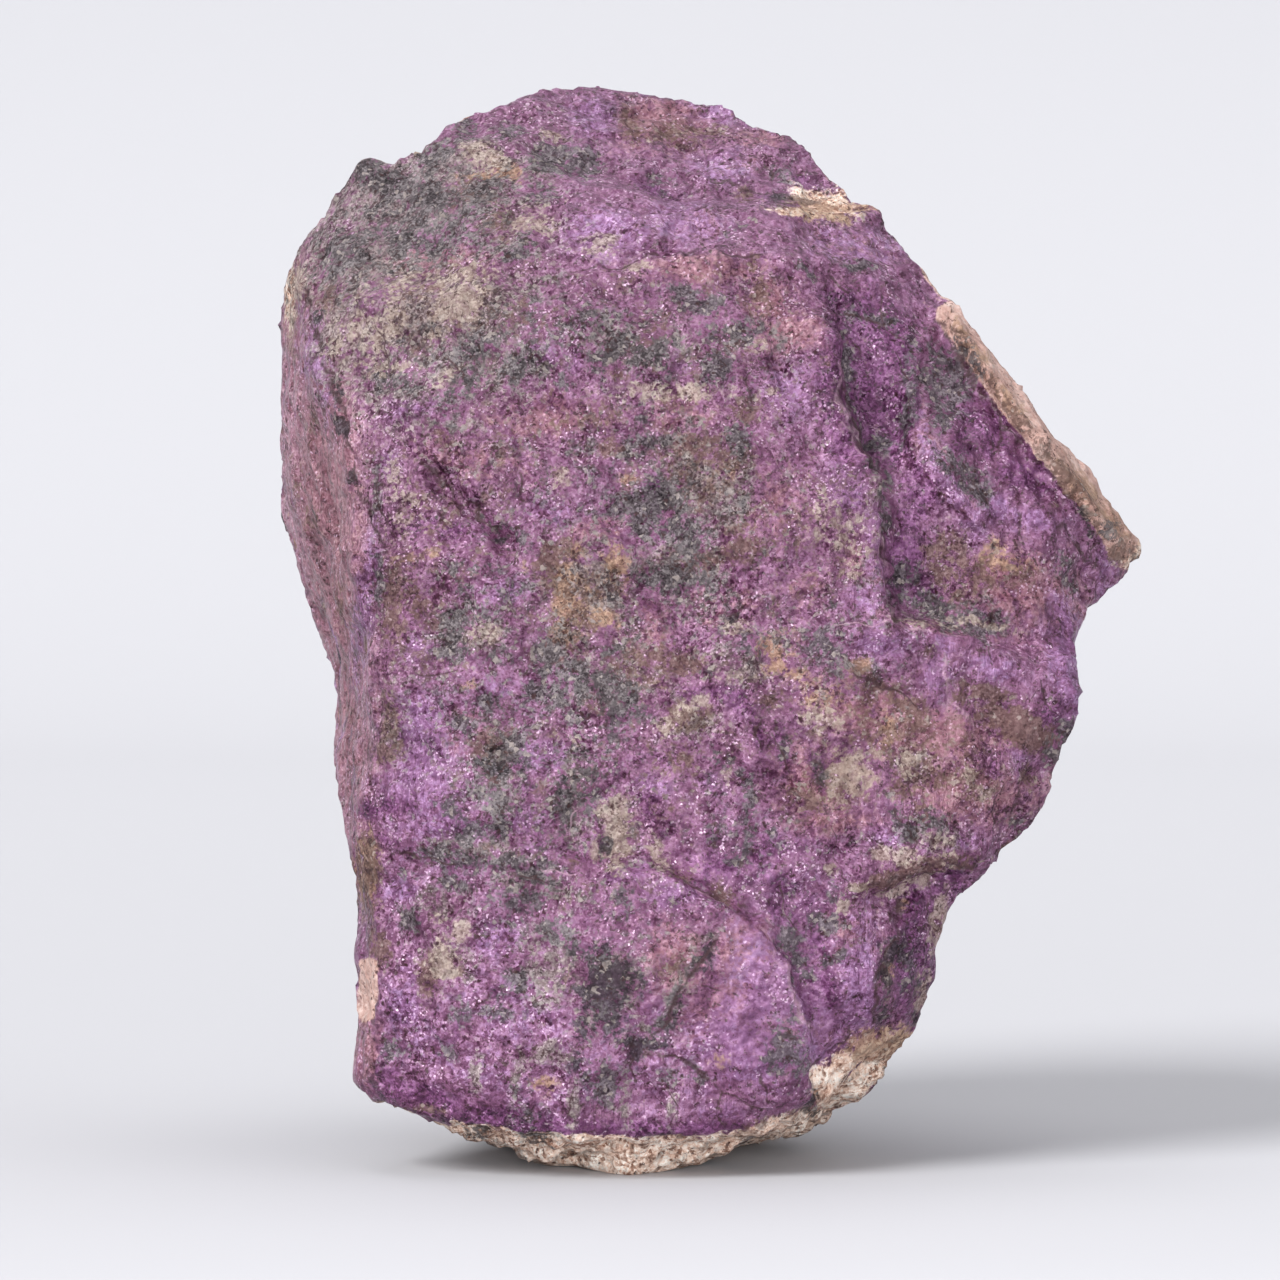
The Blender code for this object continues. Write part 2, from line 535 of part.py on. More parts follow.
def cut_flat_spot(bm):
    """Cut the underside at the resting level and close the cut with a flat face."""
    for vert in bm.verts:
        if abs(vert.co.z - RESTING_LEVEL) < RESTING_MARGIN:
            vert.co.z = RESTING_LEVEL
    bmesh.ops.bisect_plane(
        bm,
        geom=bm.verts[:] + bm.edges[:] + bm.faces[:],
        plane_co=(0.0, 0.0, RESTING_LEVEL),
        plane_no=(0.0, 0.0, -1.0),
        clear_outer=True,
    )
    bmesh.ops.remove_doubles(bm, verts=bm.verts, dist=SHORTEST_EDGE)
    level_faces = [face for face in bm.faces if lies_level(face)]
    bmesh.ops.delete(bm, geom=level_faces, context="FACES")
    loose_verts = [vert for vert in bm.verts if not vert.link_faces]
    bmesh.ops.delete(bm, geom=loose_verts, context="VERTS")
    rim = [edge for edge in bm.edges if edge.is_boundary]
    bmesh.ops.holes_fill(bm, edges=rim, sides=0)
    bmesh.ops.triangulate(bm, faces=bm.faces)


def centre_on_origin(bm):
    """Stand the stone on the origin, in the middle of its length and depth."""
    xs = [vert.co.x for vert in bm.verts]
    ys = [vert.co.y for vert in bm.verts]
    middle = Vector(((min(xs) + max(xs)) / 2.0, (min(ys) + max(ys)) / 2.0, RESTING_LEVEL))
    bmesh.ops.translate(bm, vec=-middle, verts=bm.verts)


def stone_material():
    material = bpy.data.materials.new("purpurite_stone")
    material.use_nodes = True
    shader = material.node_tree.nodes["Principled BSDF"]
    shader.inputs["Base Color"].default_value = STONE_COLOUR
    shader.inputs["Roughness"].default_value = STONE_ROUGHNESS
    shader.inputs["Metallic"].default_value = 0.0
    return material


def make_stone():
    bm = bmesh.new()
    build_cage(bm)
    refine(bm)
    ease(bm)
    roughen(bm)
    cut_flat_spot(bm)
    centre_on_origin(bm)
    scale = METRES_PER_MILLIMETRE
    bmesh.ops.scale(bm, vec=(scale, scale, scale), verts=bm.verts)
    mesh = bpy.data.meshes.new("purpurite")
    bm.to_mesh(mesh)
    bm.free()
    mesh.shade_smooth()
    mesh.set_sharp_from_angle(angle=SHARP_ANGLE)
    mesh.materials.append(stone_material())
    stone = bpy.data.objects.new("purpurite", mesh)
    bpy.context.scene.collection.objects.link(stone)
    return stone


def main():
    for old in list(bpy.data.objects):
        bpy.data.objects.remove(old)
    noise.seed_set(NOISE_SEED)
    make_stone()


main()
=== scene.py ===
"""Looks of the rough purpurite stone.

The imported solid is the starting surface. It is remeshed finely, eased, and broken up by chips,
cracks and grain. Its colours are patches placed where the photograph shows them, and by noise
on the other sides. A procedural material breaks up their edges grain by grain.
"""
import math
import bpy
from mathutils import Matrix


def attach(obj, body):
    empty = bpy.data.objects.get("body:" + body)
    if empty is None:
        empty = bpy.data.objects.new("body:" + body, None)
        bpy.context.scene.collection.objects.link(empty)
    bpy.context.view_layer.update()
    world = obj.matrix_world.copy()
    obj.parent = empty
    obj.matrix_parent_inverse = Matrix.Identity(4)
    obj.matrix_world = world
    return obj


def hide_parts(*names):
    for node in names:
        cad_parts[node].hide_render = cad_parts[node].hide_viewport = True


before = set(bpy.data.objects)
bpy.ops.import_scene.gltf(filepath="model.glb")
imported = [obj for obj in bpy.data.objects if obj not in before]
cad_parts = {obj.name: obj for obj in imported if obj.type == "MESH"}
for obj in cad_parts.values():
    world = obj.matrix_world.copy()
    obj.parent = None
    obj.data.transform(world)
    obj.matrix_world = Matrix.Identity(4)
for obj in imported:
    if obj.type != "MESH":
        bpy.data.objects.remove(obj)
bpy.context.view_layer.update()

from types import SimpleNamespace

import bmesh
import bpy
import numpy as np
from mathutils import Vector, noise

# Lengths are in millimetres while the stone is worked, and the finished mesh is scaled to metres.
MILLIMETRES_PER_METRE = 1000.0
METRES_PER_MILLIMETRE = 0.001

# The middle of a value that runs from 0 to 1.
MIDDLE = 0.5
MIDDLE_OF_THREE = (MIDDLE, MIDDLE, MIDDLE)

# The eye in front of the stone. What is placed on the stone is given by how far across and how far up
# it appears on the stone's middle plane, measured from the eye's own middle line.
EYE_DISTANCE = 290.0
EYE_HEIGHT = 38.2
STONE_MIDDLE_ACROSS = 3.992
STONE_MIDDLE_DEPTH = 0.338

# Mesh of the stone.
NOISE_SEED = 11
WELD_DISTANCE = 0.001
VOXEL_SIZE = 0.39
EASING_ROUNDS = 6
EASING_PUSH = 0.5
EASING_PULL = -0.53

# A pair of limits below runs from where something begins to where it is complete. This one says
# how far a surface must face the eye to be seen by it.
SEEN_FACING = (-0.05, 0.12)

# Chips, and how much of them is lost where the stone is smooth or close to its outline. The two
# draws only pick a random tilt and a random step for each chip.
CHIP_SIZES_AND_HEIGHTS = [(5.2, 0.34), (2.3, 0.30), (1.1, 0.22)]
CHIP_WARP_SIZE = 3.0
CHIP_WARP = 0.9
CHIP_STRETCH = Vector((1.0, 1.0, 0.72))
CHIP_TILT = 1.6
CHIP_STEP = 0.5
CHIP_TILT_DRAW = 5.0
CHIP_STEP_DRAW = 9.0
CHIPS_LOST_WHERE_SMOOTH = 0.75
CHIPS_LOST_AT_OUTLINE = 0.5
OUTLINE_FACING = (0.45, 0.15)

# Waves, grain and streaks.
WAVE_SIZE = 2.6
WAVE_HEIGHT = 0.16
GRAIN_SIZE = 0.8
GRAIN_HEIGHT = 0.075
GRAIN_LOST_WHERE_SMOOTH = 0.6
STREAK_SIZE = 0.75
STREAK_HEIGHT = 0.16
STREAK_STRETCH = Vector((1.0, 1.0, 0.12))

# The crust's lumps, which are at their fullest low down, and where crust covers the underside.
CRUST_LUMP_SIZE = 1.5
CRUST_LUMP_HEIGHT = 0.55
CRUST_GRAIN_SIZE = 0.7
CRUST_GRAIN_HEIGHT = 0.22
SMOOTHEST_CRUST = 0.25
LUMPY_CRUST_BELOW = (26.0, 12.0)
FULLEST_CRUST = 1.3
UNDERSIDE_SLOPE = (-0.1, -0.5)
UNDERSIDE_HEIGHT = (6.0, 3.5)
UNDERSIDE_WANDER = 2.5

# The rind's strength across its width, and where rind covers the unseen side.
RIND_STRENGTH = 1.3
RIND_FALL = 0.8
FULLEST_RIND = 1.2
UNSEEN_RIND_SLOPE = (0.25, 0.75)
UNSEEN_RIND_SHARE_OF_UP = 0.5
UNSEEN_RIND_HEIGHT = (37.0, 41.0)
UNSEEN_RIND_HEIGHT_WANDER = 6.0
UNSEEN_RIND_ACROSS = (10.0, 13.0)
UNSEEN_RIND_ACROSS_WANDER = 7.0
WANDER_SIZE = 5.0

# What lies this low and faces this far down is the flat spot, which keeps its shape.
RESTING_HEIGHT = (0.6, 0.1)
RESTING_SLOPE = (-0.6, -0.9)

# Lines and patches.
LINE_FULL_REACH = 0.7
LINE_REACH = 1.1
LINE_END_FADE = 0.5
LINE_WANDER = 0.6
LINE_WANDER_SIZE = 1.3
NARROWEST_GROOVE = 0.35
GROOVE_SHARE = 0.6
PATCH_FALL = 0.38

# Patches are: across, up, half length, half width, strength, and turn in degrees where it has one.
# The last two lists aren't minerals: they say where the stone has fibres and where it is smooth.
PATCHES = {
    "grey": [
        (-17, 64.2, 5.5, 2.6, 0.55, 20), (-11.5, 66.5, 4, 2, 0.5, 10), (-19.5, 60.5, 2.5, 1.6, 0.5, 30),
        (-12, 55.5, 6, 2.5, 0.46, 10), (0, 44, 8, 8, 0.36), (-8, 30, 6, 8, 0.38), (-4, 56, 10, 3, 0.38),
        (12, 36, 8, 4, 0.28, -20), (-6, 18, 8, 5, 0.28), (9, 20, 7, 4, 0.26),
        (-20.6, 61.9, 2, 0.9, 0.95, 40), (-18.2, 63.6, 2, 0.7, 0.75, 15), (-15.4, 62.9, 2.6, 1.4, 0.8, 5),
        (-15.2, 66, 2.6, 1, 1, -15), (-17.7, 66.9, 1.7, 0.7, 1, -20), (-18.9, 67.8, 0.8, 0.4, 1),
        (-12.6, 64.9, 1.8, 1.1, 0.8, 10), (-11.5, 63, 1.4, 0.9, 0.55), (-14, 68.9, 1.6, 0.6, 0.8, 30),
        (-12.2, 70.6, 0.8, 0.7, 0.9), (-6, 68.6, 1.2, 0.7, 1, -10), (-4.2, 68.3, 1.1, 0.7, 0.95),
        (-9, 70.4, 0.9, 0.5, 0.8), (-7.8, 63.2, 0.6, 1.2, 0.7), (-8.7, 61.9, 0.9, 0.5, 0.75),
        (-7, 66.2, 0.8, 0.8, 0.75), (-7.3, 57.2, 0.55, 1.2, 0.85), (-8.9, 54, 0.8, 0.9, 0.9),
        (-11.6, 55.2, 1.7, 0.9, 0.8, 20), (-11.8, 53.6, 1, 1.2, 0.85), (-17.3, 53.4, 1.5, 0.7, 0.85),
        (-12.9, 52.3, 0.9, 0.4, 0.8), (-16.6, 55.4, 0.6, 0.8, 0.6), (-3.9, 57.3, 0.6, 0.7, 0.75),
        (-2.9, 54.3, 0.7, 0.7, 0.85), (-1.4, 55.4, 1, 0.7, 0.9, 20), (0.9, 55.2, 1.4, 0.6, 1, 25),
        (-5.3, 53.2, 0.5, 0.7, 0.7), (3.1, 59.1, 1, 0.8, 0.9, -30), (4.8, 58.3, 1, 0.7, 1),
        (5, 56.6, 0.7, 0.6, 0.85), (7.4, 56.5, 1.2, 0.6, 1), (5.3, 54.2, 0.9, 0.8, 0.9),
        (1.9, 53.7, 0.4, 0.9, 0.8), (0.3, 50.3, 0.8, 0.4, 0.75), (0.5, 49, 1.3, 0.5, 0.85),
        (6.8, 49.2, 0.8, 1, 0.8), (1, 44.6, 1.9, 1.3, 1.05, 15), (2.3, 43.2, 1.7, 0.8, 0.95, -15),
        (3.5, 41.6, 0.9, 1.2, 0.8), (2, 39, 1.5, 0.9, 0.95), (4.2, 39.1, 1, 0.9, 0.7),
        (-12.5, 36.4, 1.3, 0.7, 0.85, 10), (-10.7, 36.8, 1, 0.5, 0.9), (-13, 34.2, 1, 0.6, 0.95),
        (-11.6, 40.1, 1.5, 0.5, 0.8), (-12.1, 39.2, 0.6, 0.7, 0.75), (-8.4, 42.2, 0.9, 0.4, 0.85, -30),
        (-6.6, 34, 0.8, 0.8, 0.9), (-4.6, 32.9, 1.1, 0.7, 0.9), (-2.2, 34.2, 0.7, 0.5, 0.9),
        (-2.5, 32, 1.9, 0.9, 1, -15), (-7.2, 31.5, 0.7, 0.7, 0.8), (-5.5, 31, 0.5, 0.4, 0.8),
        (-1, 29.8, 1.4, 0.8, 0.95, 10), (-1.8, 28.3, 0.6, 0.8, 0.85), (-10.4, 30.7, 0.8, 0.5, 0.9),
        (-12.2, 29, 1, 0.4, 0.85, -25), (-8.7, 28, 0.8, 0.6, 0.85), (-8.5, 26.7, 0.8, 0.6, 1),
        (-10.1, 24.6, 0.9, 1.6, 0.9), (-10, 22.5, 0.8, 1.1, 0.8), (-12.8, 23, 1.3, 0.4, 0.95, -30),
        (-11.7, 21.8, 1, 0.7, 0.95), (-5.4, 23.7, 0.5, 1.7, 0.85), (-3.6, 26.2, 0.5, 0.7, 0.85),
        (-3.4, 23.4, 0.9, 0.6, 0.85), (-12.4, 19.8, 2.3, 0.6, 1, -8), (-9.5, 19.7, 1.1, 0.5, 0.95),
        (-13.2, 18.4, 0.9, 0.5, 0.85, -20), (-16, 18.8, 0.7, 0.3, 0.8), (-6.4, 19.3, 0.8, 0.5, 0.8),
        (-7.4, 18.4, 1.5, 0.35, 0.9, -20), (-7.6, 17.1, 0.8, 0.8, 0.95), (-9.8, 17, 0.9, 0.4, 0.75),
        (-1, 17.2, 0.6, 0.5, 0.9), (-15.9, 15.7, 0.9, 0.6, 0.95, -15), (-5.8, 14.9, 0.9, 0.8, 0.95),
        (-4.8, 14.1, 0.5, 0.9, 0.85, 15), (-8.5, 11.4, 0.8, 0.4, 0.95, -35),
        (-10, 10.3, 0.7, 0.4, 0.9, 40), (-9.9, 9.1, 0.9, 0.3, 0.95), (-12.3, 9, 0.6, 0.6, 0.85),
        (-13.3, 6.6, 0.7, 0.4, 0.85, -30), (-17.3, 6.6, 0.8, 0.6, 0.85), (-2.3, 4.4, 1, 1.1, 0.8),
        (-8, 3.8, 0.9, 0.6, 0.6), (-7.5, 2.2, 1, 0.4, 0.6), (4.2, 4.8, 0.8, 0.3, 1, -35),
        (2, 4.8, 0.6, 0.4, 0.7), (1.2, 8.2, 0.3, 0.8, 0.85, -35), (2.5, 10.6, 0.3, 1, 0.8, -25),
        (3.6, 12.6, 0.3, 0.9, 0.8, -25), (-3.8, 24.6, 0.9, 1.2, 0.9), (18.8, 53, 0.4, 2, 0.8),
        (9.9, 7, 0.8, 1.4, 0.95), (9.2, 6, 0.7, 0.4, 0.95, 20), (10.7, 5.9, 0.6, 0.9, 0.8),
        (13, 15.5, 0.9, 0.6, 0.85), (11.2, 11.7, 0.6, 0.4, 0.95), (11.1, 13, 0.5, 0.3, 0.85),
        (10.4, 14.3, 0.6, 0.6, 1), (13.5, 13, 0.9, 0.4, 0.9, 20), (13.3, 17.2, 0.7, 0.5, 0.7),
        (5.8, 26.6, 1, 0.45, 0.95, -25), (7.7, 24, 0.35, 1.2, 0.85), (7.4, 21.6, 0.3, 1.3, 0.85),
        (6.8, 20.1, 0.8, 0.4, 0.75), (17.6, 23.4, 0.35, 1.1, 0.95, 20), (18.4, 22, 0.4, 0.9, 0.8, 20),
        (20.4, 22.7, 0.9, 0.7, 0.75), (6, 36.6, 0.4, 0.7, 0.85), (7.8, 34.9, 1.1, 0.9, 0.75),
        (12.4, 34.8, 1.3, 0.9, 0.85), (13.9, 33.5, 0.7, 0.9, 0.7), (4.8, 32.6, 0.9, 0.35, 0.75, -20),
        (18.6, 39.7, 0.7, 0.6, 0.95), (18.9, 38, 1, 0.4, 0.75), (20.9, 37.4, 1.2, 0.6, 0.95, -20),
        (22.8, 36.4, 1.4, 0.8, 1.05), (24.4, 36, 0.9, 0.4, 0.85), (17.1, 43.2, 0.4, 0.7, 0.85),
        (17, 45.6, 0.35, 0.9, 0.9), (16.2, 46.9, 0.5, 0.7, 0.85, 30), (21.4, 53.6, 1.3, 1.7, 1, 15),
        (20.9, 50.5, 0.5, 1, 0.7), (22.7, 46.6, 1.4, 0.65, 1.05, -40), (23.8, 45.3, 0.7, 0.5, 0.95, -40),
        (18.3, 50.5, 0.5, 1.2, 0.85), (14.2, 54.2, 0.4, 1.7, 0.95), (14.5, 51.2, 0.4, 1.6, 0.95, 10),
        (16.8, 48.8, 0.8, 0.5, 0.8), (16.4, 57.3, 1.5, 0.35, 0.7, -15), (15.3, 61.2, 0.8, 0.3, 0.95),
        (11.3, 60.9, 0.9, 0.3, 0.75, -45), (6.9, 63.7, 0.9, 0.3, 0.75, 20), (9.7, 67.6, 0.8, 0.6, 0.7),
        (1.9, 67.3, 1, 0.7, 0.55), (29.3, 40.4, 0.5, 0.7, 0.8), (29.9, 38.9, 0.5, 0.5, 0.65),
        (29.5, 28.3, 0.5, 1.3, 1, -15), (28.6, 27, 0.4, 0.8, 0.85), (26.1, 22.4, 0.4, 0.4, 0.85),
        (-18.3, 39.4, 0.35, 1.6, 0.75), (-18.4, 46, 0.3, 1.4, 0.6), (32.5, 42.8, 0.4, 0.5, 0.8),
        (-13.5, 50.6, 1, 0.9, 0.6),
    ],
    "ash": [
        (-16, 65.6, 6, 2.6, 1, 15), (-19.5, 61.5, 3.5, 2.4, 1, 25), (-14.5, 57.4, 5, 2.6, 0.95, 5),
        (-12, 54.2, 4, 1.8, 0.85), (-20.5, 56.5, 1.8, 3, 0.85), (-9.5, 63.5, 3, 2, 0.6),
        (-17.5, 53, 3, 1.2, 0.8), (-14, 50.2, 3, 0.8, 0.6), (-7.5, 67.5, 1.6, 1.4, 0.6),
        (4.2, 45.8, 2.8, 2.6, 0.8), (-3.6, 38.8, 2, 2.2, 1), (2.6, 40.4, 2.6, 2, 0.75),
        (-1.6, 32.4, 2.8, 1.8, 0.8), (3, 29.6, 1.8, 1.2, 0.7), (-9.8, 25.6, 1.2, 3, 0.8),
        (-4.6, 24.2, 1.2, 2.4, 0.75), (-11.2, 20.4, 2.4, 0.8, 0.85, -8), (-7, 18, 2.4, 0.6, 0.8, -15),
        (-11.6, 36, 2, 1.4, 0.7), (0.6, 55.2, 3.2, 1, 0.7, 10), (-2.2, 56.2, 1.6, 0.9, 0.7),
        (6.8, 33.4, 2.2, 0.9, 0.7), (-14, 16.2, 1.6, 1.6, 0.55), (-13.4, 13.4, 1.2, 1.6, 0.75),
        (-2, 11, 1.6, 2.4, 0.6, -20), (0.4, 8, 1.2, 1, 0.6), (18.8, 26.4, 1.2, 1.4, 0.55),
        (20.6, 21.2, 1.4, 0.9, 0.6), (16.4, 46.2, 0.6, 1.6, 0.65), (21, 37.2, 2.2, 0.9, 0.65),
        (-17.2, 29, 0.9, 2.6, 0.55), (-6, 6.4, 1.6, 0.9, 0.45), (-1.4, 21.6, 0.9, 1.8, 0.8),
        (-6, 13, 1.6, 2.2, 0.75), (-1, 3.4, 0.3, 1.6, 0.9), (-4.6, 2.6, 0.3, 1.3, 0.85),
        (2.2, 2.8, 0.2, 1.2, 0.85), (-6.6, 6.6, 1.4, 0.4, 0.75, 40), (3, 11.6, 0.7, 2.6, 0.75, -25),
        (-8.6, 4.6, 0.3, 1.4, 0.8, -10), (-11.4, 5, 0.3, 1.2, 0.8),
    ],
    "soot": [
        (-2.1, 12.2, 1.6, 0.8, 1.35, -42), (-3, 10.7, 1.4, 1, 1.15, -60), (-2.5, 9, 0.8, 1.1, 1.15, 20),
        (-4, 8.2, 0.6, 0.9, 1), (-3.9, 10.4, 0.5, 0.8, 0.75), (-1.2, 7.5, 1.1, 0.4, 0.85, -30),
        (-0.3, 6.4, 0.5, 0.6, 0.9), (0.5, 7, 0.8, 0.3, 0.9), (2.3, 8.6, 0.35, 1, 0.8, -15),
        (2.8, 10.1, 0.3, 0.9, 0.75, -15), (4.8, 13.6, 0.3, 0.9, 0.85, -20), (4.4, 12.4, 0.5, 0.4, 0.65),
        (-4.5, 5.9, 0.4, 0.7, 0.65, -20), (-2.4, 20.9, 0.24, 0.32, 1.7), (-2.9, 20, 0.2, 0.18, 1.6),
        (-10.3, 26.3, 0.9, 0.3, 0.95, -15), (-5.5, 25.3, 0.35, 0.6, 0.7), (18.2, 13.2, 0.9, 0.9, 0.95),
        (17.1, 12, 0.45, 1, 0.85), (17, 9.6, 0.4, 1, 0.8), (19.1, 8.8, 0.5, 0.5, 0.8),
        (18.6, 11.2, 0.9, 0.5, 0.6, 30), (-21.2, 52.5, 0.3, 0.7, 1, 25), (-20.9, 50, 0.2, 0.9, 1.1, 25),
        (-20.1, 46.4, 0.2, 0.6, 0.9, 20), (-10.1, 42.6, 0.9, 0.3, 0.8, -45), (10, 27.2, 0.35, 1.2, 0.7),
        (12.5, 25.8, 0.3, 1.1, 0.75, 12), (19.9, 50.9, 0.2, 0.5, 0.4), (-22.4, 57.7, 0.2, 0.5, 0.8, -40),
        (9.5, 66, 0.5, 0.3, 0.9), (30.9, 43.3, 0.3, 0.9, 0.9, 30), (7.6, 52, 0.2, 0.7, 0.7),
        (11.8, 3.3, 0.4, 0.7, 0.85), (12.2, 2.3, 0.6, 0.3, 0.8), (-7, 0.6, 0.7, 0.35, 0.9, -20),
        (-17.7, 3.5, 0.8, 0.3, 0.8, -25), (-11.5, 1.1, 0.8, 0.3, 0.7, -10),
        (24.4, 41.5, 0.2, 0.4, 0.9, 20),
    ],
    "brown": [
        (-13, 58.5, 6, 2.6, 0.48, 5), (-5, 38.5, 5, 3.5, 0.46), (4.5, 46, 4.5, 3.5, 0.44),
        (-1, 32, 5, 2.5, 0.44), (19, 28.5, 7, 2.6, 0.46, -25), (2, 54, 9, 6, 0.38), (-14, 38, 4, 8, 0.38),
        (10, 42, 6, 6, 0.36), (-4, 24, 8, 6, 0.34), (14, 28, 8, 4, 0.34), (-12, 46, 6, 4, 0.36),
        (-5.6, 34.2, 1.4, 1.2, 0.75), (-6.3, 40.3, 0.5, 1.2, 0.95), (-7, 39.9, 0.7, 0.5, 0.8),
        (-16.7, 38.2, 1.1, 1.4, 0.85), (-15.4, 37.4, 0.8, 0.9, 0.75), (-17.1, 35.9, 0.7, 1.4, 0.8),
        (-17.6, 30.1, 0.6, 1.5, 0.75), (-17.9, 27.2, 0.9, 0.8, 0.95), (-19, 19.2, 0.6, 1.8, 1.1),
        (-18.1, 13.6, 0.5, 1, 0.95, 15), (-18.6, 16.3, 0.4, 0.8, 0.7), (4.5, 48, 2.4, 1.3, 0.85, -15),
        (3.4, 46.4, 1.6, 0.8, 0.75), (7.6, 51, 0.7, 0.8, 1), (8.2, 59.6, 0.4, 0.9, 0.7),
        (7.8, 61.5, 0.25, 0.5, 0.9), (3.6, 40.2, 1.5, 1.2, 0.8), (6.3, 43, 1.2, 0.9, 0.75),
        (7.4, 41.3, 1.4, 0.9, 0.85), (1.4, 34.1, 1.8, 0.8, 0.75), (3.2, 33.5, 1.2, 0.6, 0.8),
        (3.4, 29.9, 1.6, 0.8, 0.8), (2.4, 26.6, 1.4, 1.1, 0.75), (-10.2, 27.8, 1.1, 1.1, 0.95),
        (-9.9, 25.4, 0.6, 0.9, 0.8), (16.2, 32.2, 2.2, 0.5, 0.75, -32), (18.6, 30.4, 2.2, 0.9, 0.7, -32),
        (22.4, 31.3, 1, 0.7, 0.8), (24.2, 31.3, 1.5, 0.5, 0.95, -15), (26.5, 28.9, 1.7, 0.7, 1.9, -28),
        (24.2, 29.6, 0.9, 0.3, 1.05, -8), (12.4, 24.2, 1.9, 1.5, 0.7), (18.2, 25.6, 0.9, 1.1, 0.8),
        (20.4, 25.4, 1, 0.7, 0.7), (19.8, 23.1, 0.7, 0.7, 0.85), (27.2, 25.4, 0.5, 0.8, 0.85),
        (17.9, 18.9, 2.2, 0.35, 1.2, 22), (21.6, 19.9, 1.6, 0.35, 0.9, 5), (21.3, 41.2, 1.2, 1.2, 0.8),
        (23.4, 39.8, 2.3, 0.8, 0.8), (22.2, 38.4, 1.3, 0.7, 0.7), (-14.6, 11.8, 0.6, 1.5, 0.85),
        (-13, 12.3, 0.9, 0.7, 0.6), (30.4, 45.2, 0.4, 0.9, 0.95, 35), (31.4, 43.2, 0.35, 0.8, 0.95, 35),
        (22.7, 55.3, 0.25, 1.8, 0.9, 38), (24.7, 52.6, 0.25, 1.8, 0.95, 38),
        (26.9, 49.6, 0.25, 1.8, 0.85, 40), (29.2, 46.8, 0.35, 1.4, 0.95, 40), (33.5, 41.2, 0.8, 0.6, 0.8),
        (31.4, 44.2, 0.8, 0.3, 0.6, -50), (2.9, 70.3, 2.4, 0.6, 0.75), (11.3, 65.8, 1.2, 0.3, 0.9, 5),
        (7.4, 66.1, 0.6, 0.4, 0.7), (-0.7, 70.9, 0.5, 1, 0.8, 30), (-21.5, 58.9, 0.9, 0.8, 0.8),
        (-24, 46, 0.4, 2, 0.4), (-22.8, 50.5, 0.4, 2, 0.45), (-22.9, 43.2, 0.5, 1, 0.55),
        (-20.9, 37.5, 0.4, 1.6, 0.5), (-20.2, 30, 0.3, 2, 0.45), (-2, 48.6, 1.2, 0.6, 0.6),
        (-3.5, 50.2, 2, 0.5, 0.55), (11.6, 47.6, 0.7, 0.7, 0.5), (28.6, 44.3, 0.5, 0.3, 0.5, 30),
        (-11.4, 66, 1.5, 0.9, 0.7), (-10, 64, 1.6, 1, 0.55), (-14.3, 48.9, 1.4, 0.5, 0.55, 20),
        (-12.2, 17.6, 0.9, 0.4, 0.5), (9, 31, 0.4, 0.3, 1), (20, 34.3, 0.4, 0.4, 0.8),
        (3, 18.7, 0.7, 0.3, 1, -15), (6, 17.4, 0.9, 0.25, 0.9, -30), (15, 14.2, 0.5, 0.4, 0.75),
        (1.9, 12.5, 0.9, 0.9, 0.6), (-4.7, 19.6, 0.4, 0.3, 0.6), (5, 45.6, 0.9, 0.6, 0.6),
        (9.5, 1.9, 1.6, 0.3, 0.9, 18), (-15.3, 2.6, 1.6, 0.25, 0.7, -12),
    ],
    "ochre": [
        (22.8, 55.6, 0.4, 1.8, 0.75, 38), (25.4, 51.8, 0.4, 1.8, 0.75, 38), (30.8, 45.4, 0.5, 1.8, 1, 40),
        (33, 43.4, 0.5, 1.2, 0.8, 40), (-5.2, 38.5, 0.5, 1.7, 1.4), (-4.6, 41.1, 0.6, 0.4, 1),
        (-3.3, 38.9, 1.2, 1, 0.6), (-1.7, 39.6, 0.7, 1.5, 0.85), (-4.9, 37.3, 0.9, 0.5, 1, -20),
        (-4.9, 35.9, 0.9, 0.9, 0.75), (-2.6, 36.7, 1.3, 0.6, 0.65), (-16.8, 40.9, 0.9, 0.4, 0.85),
        (-9.3, 67.8, 0.8, 0.45, 1.2, -30), (-11.2, 67.3, 0.9, 0.2, 0.9), (9.5, 34.3, 0.9, 0.9, 0.9),
        (9.3, 33.1, 0.8, 0.4, 0.95), (10.6, 32.6, 0.9, 0.4, 0.75), (12.9, 31.2, 1.8, 0.7, 0.55),
        (15.3, 33.3, 0.6, 0.35, 0.95), (17.2, 28.6, 0.4, 0.9, 0.85), (14.3, 26, 1.15, 1.35, 0.5),
        (24.5, 41.2, 0.8, 0.7, 0.6), (25.4, 40.3, 1.1, 0.4, 0.8), (-6.7, 4.2, 0.8, 0.5, 0.65),
        (5.6, 6, 0.5, 0.4, 0.6), (-12, 32, 0.5, 0.3, 0.6), (-19.1, 19.2, 0.5, 1.7, 1.1),
        (16, 6.9, 1.2, 0.7, 1.1, 20), (17.6, 6.9, 1.1, 0.6, 0.95, 35), (15, 64.9, 0.8, 0.4, 0.8, -20),
        (-7.8, 40.2, 0.4, 0.3, 0.5), (12.3, 65, 1.5, 0.5, 1, -3), (13.9, 64.4, 0.9, 0.4, 0.8),
        (-14.4, 41.2, 0.5, 0.3, 0.6), (6.7, 47, 0.8, 0.5, 0.55), (17.3, 12.1, 0.3, 0.6, 0.7),
        (18.3, 16.9, 0.3, 0.2, 0.6), (2.9, 45.4, 0.7, 0.4, 0.5), (-0.8, 46.2, 0.5, 0.5, 0.6),
    ],
    "dust": [
        (-12.6, 58.4, 1.6, 1, 0.95, 25), (-14.2, 56.6, 1.4, 0.5, 0.65, 10),
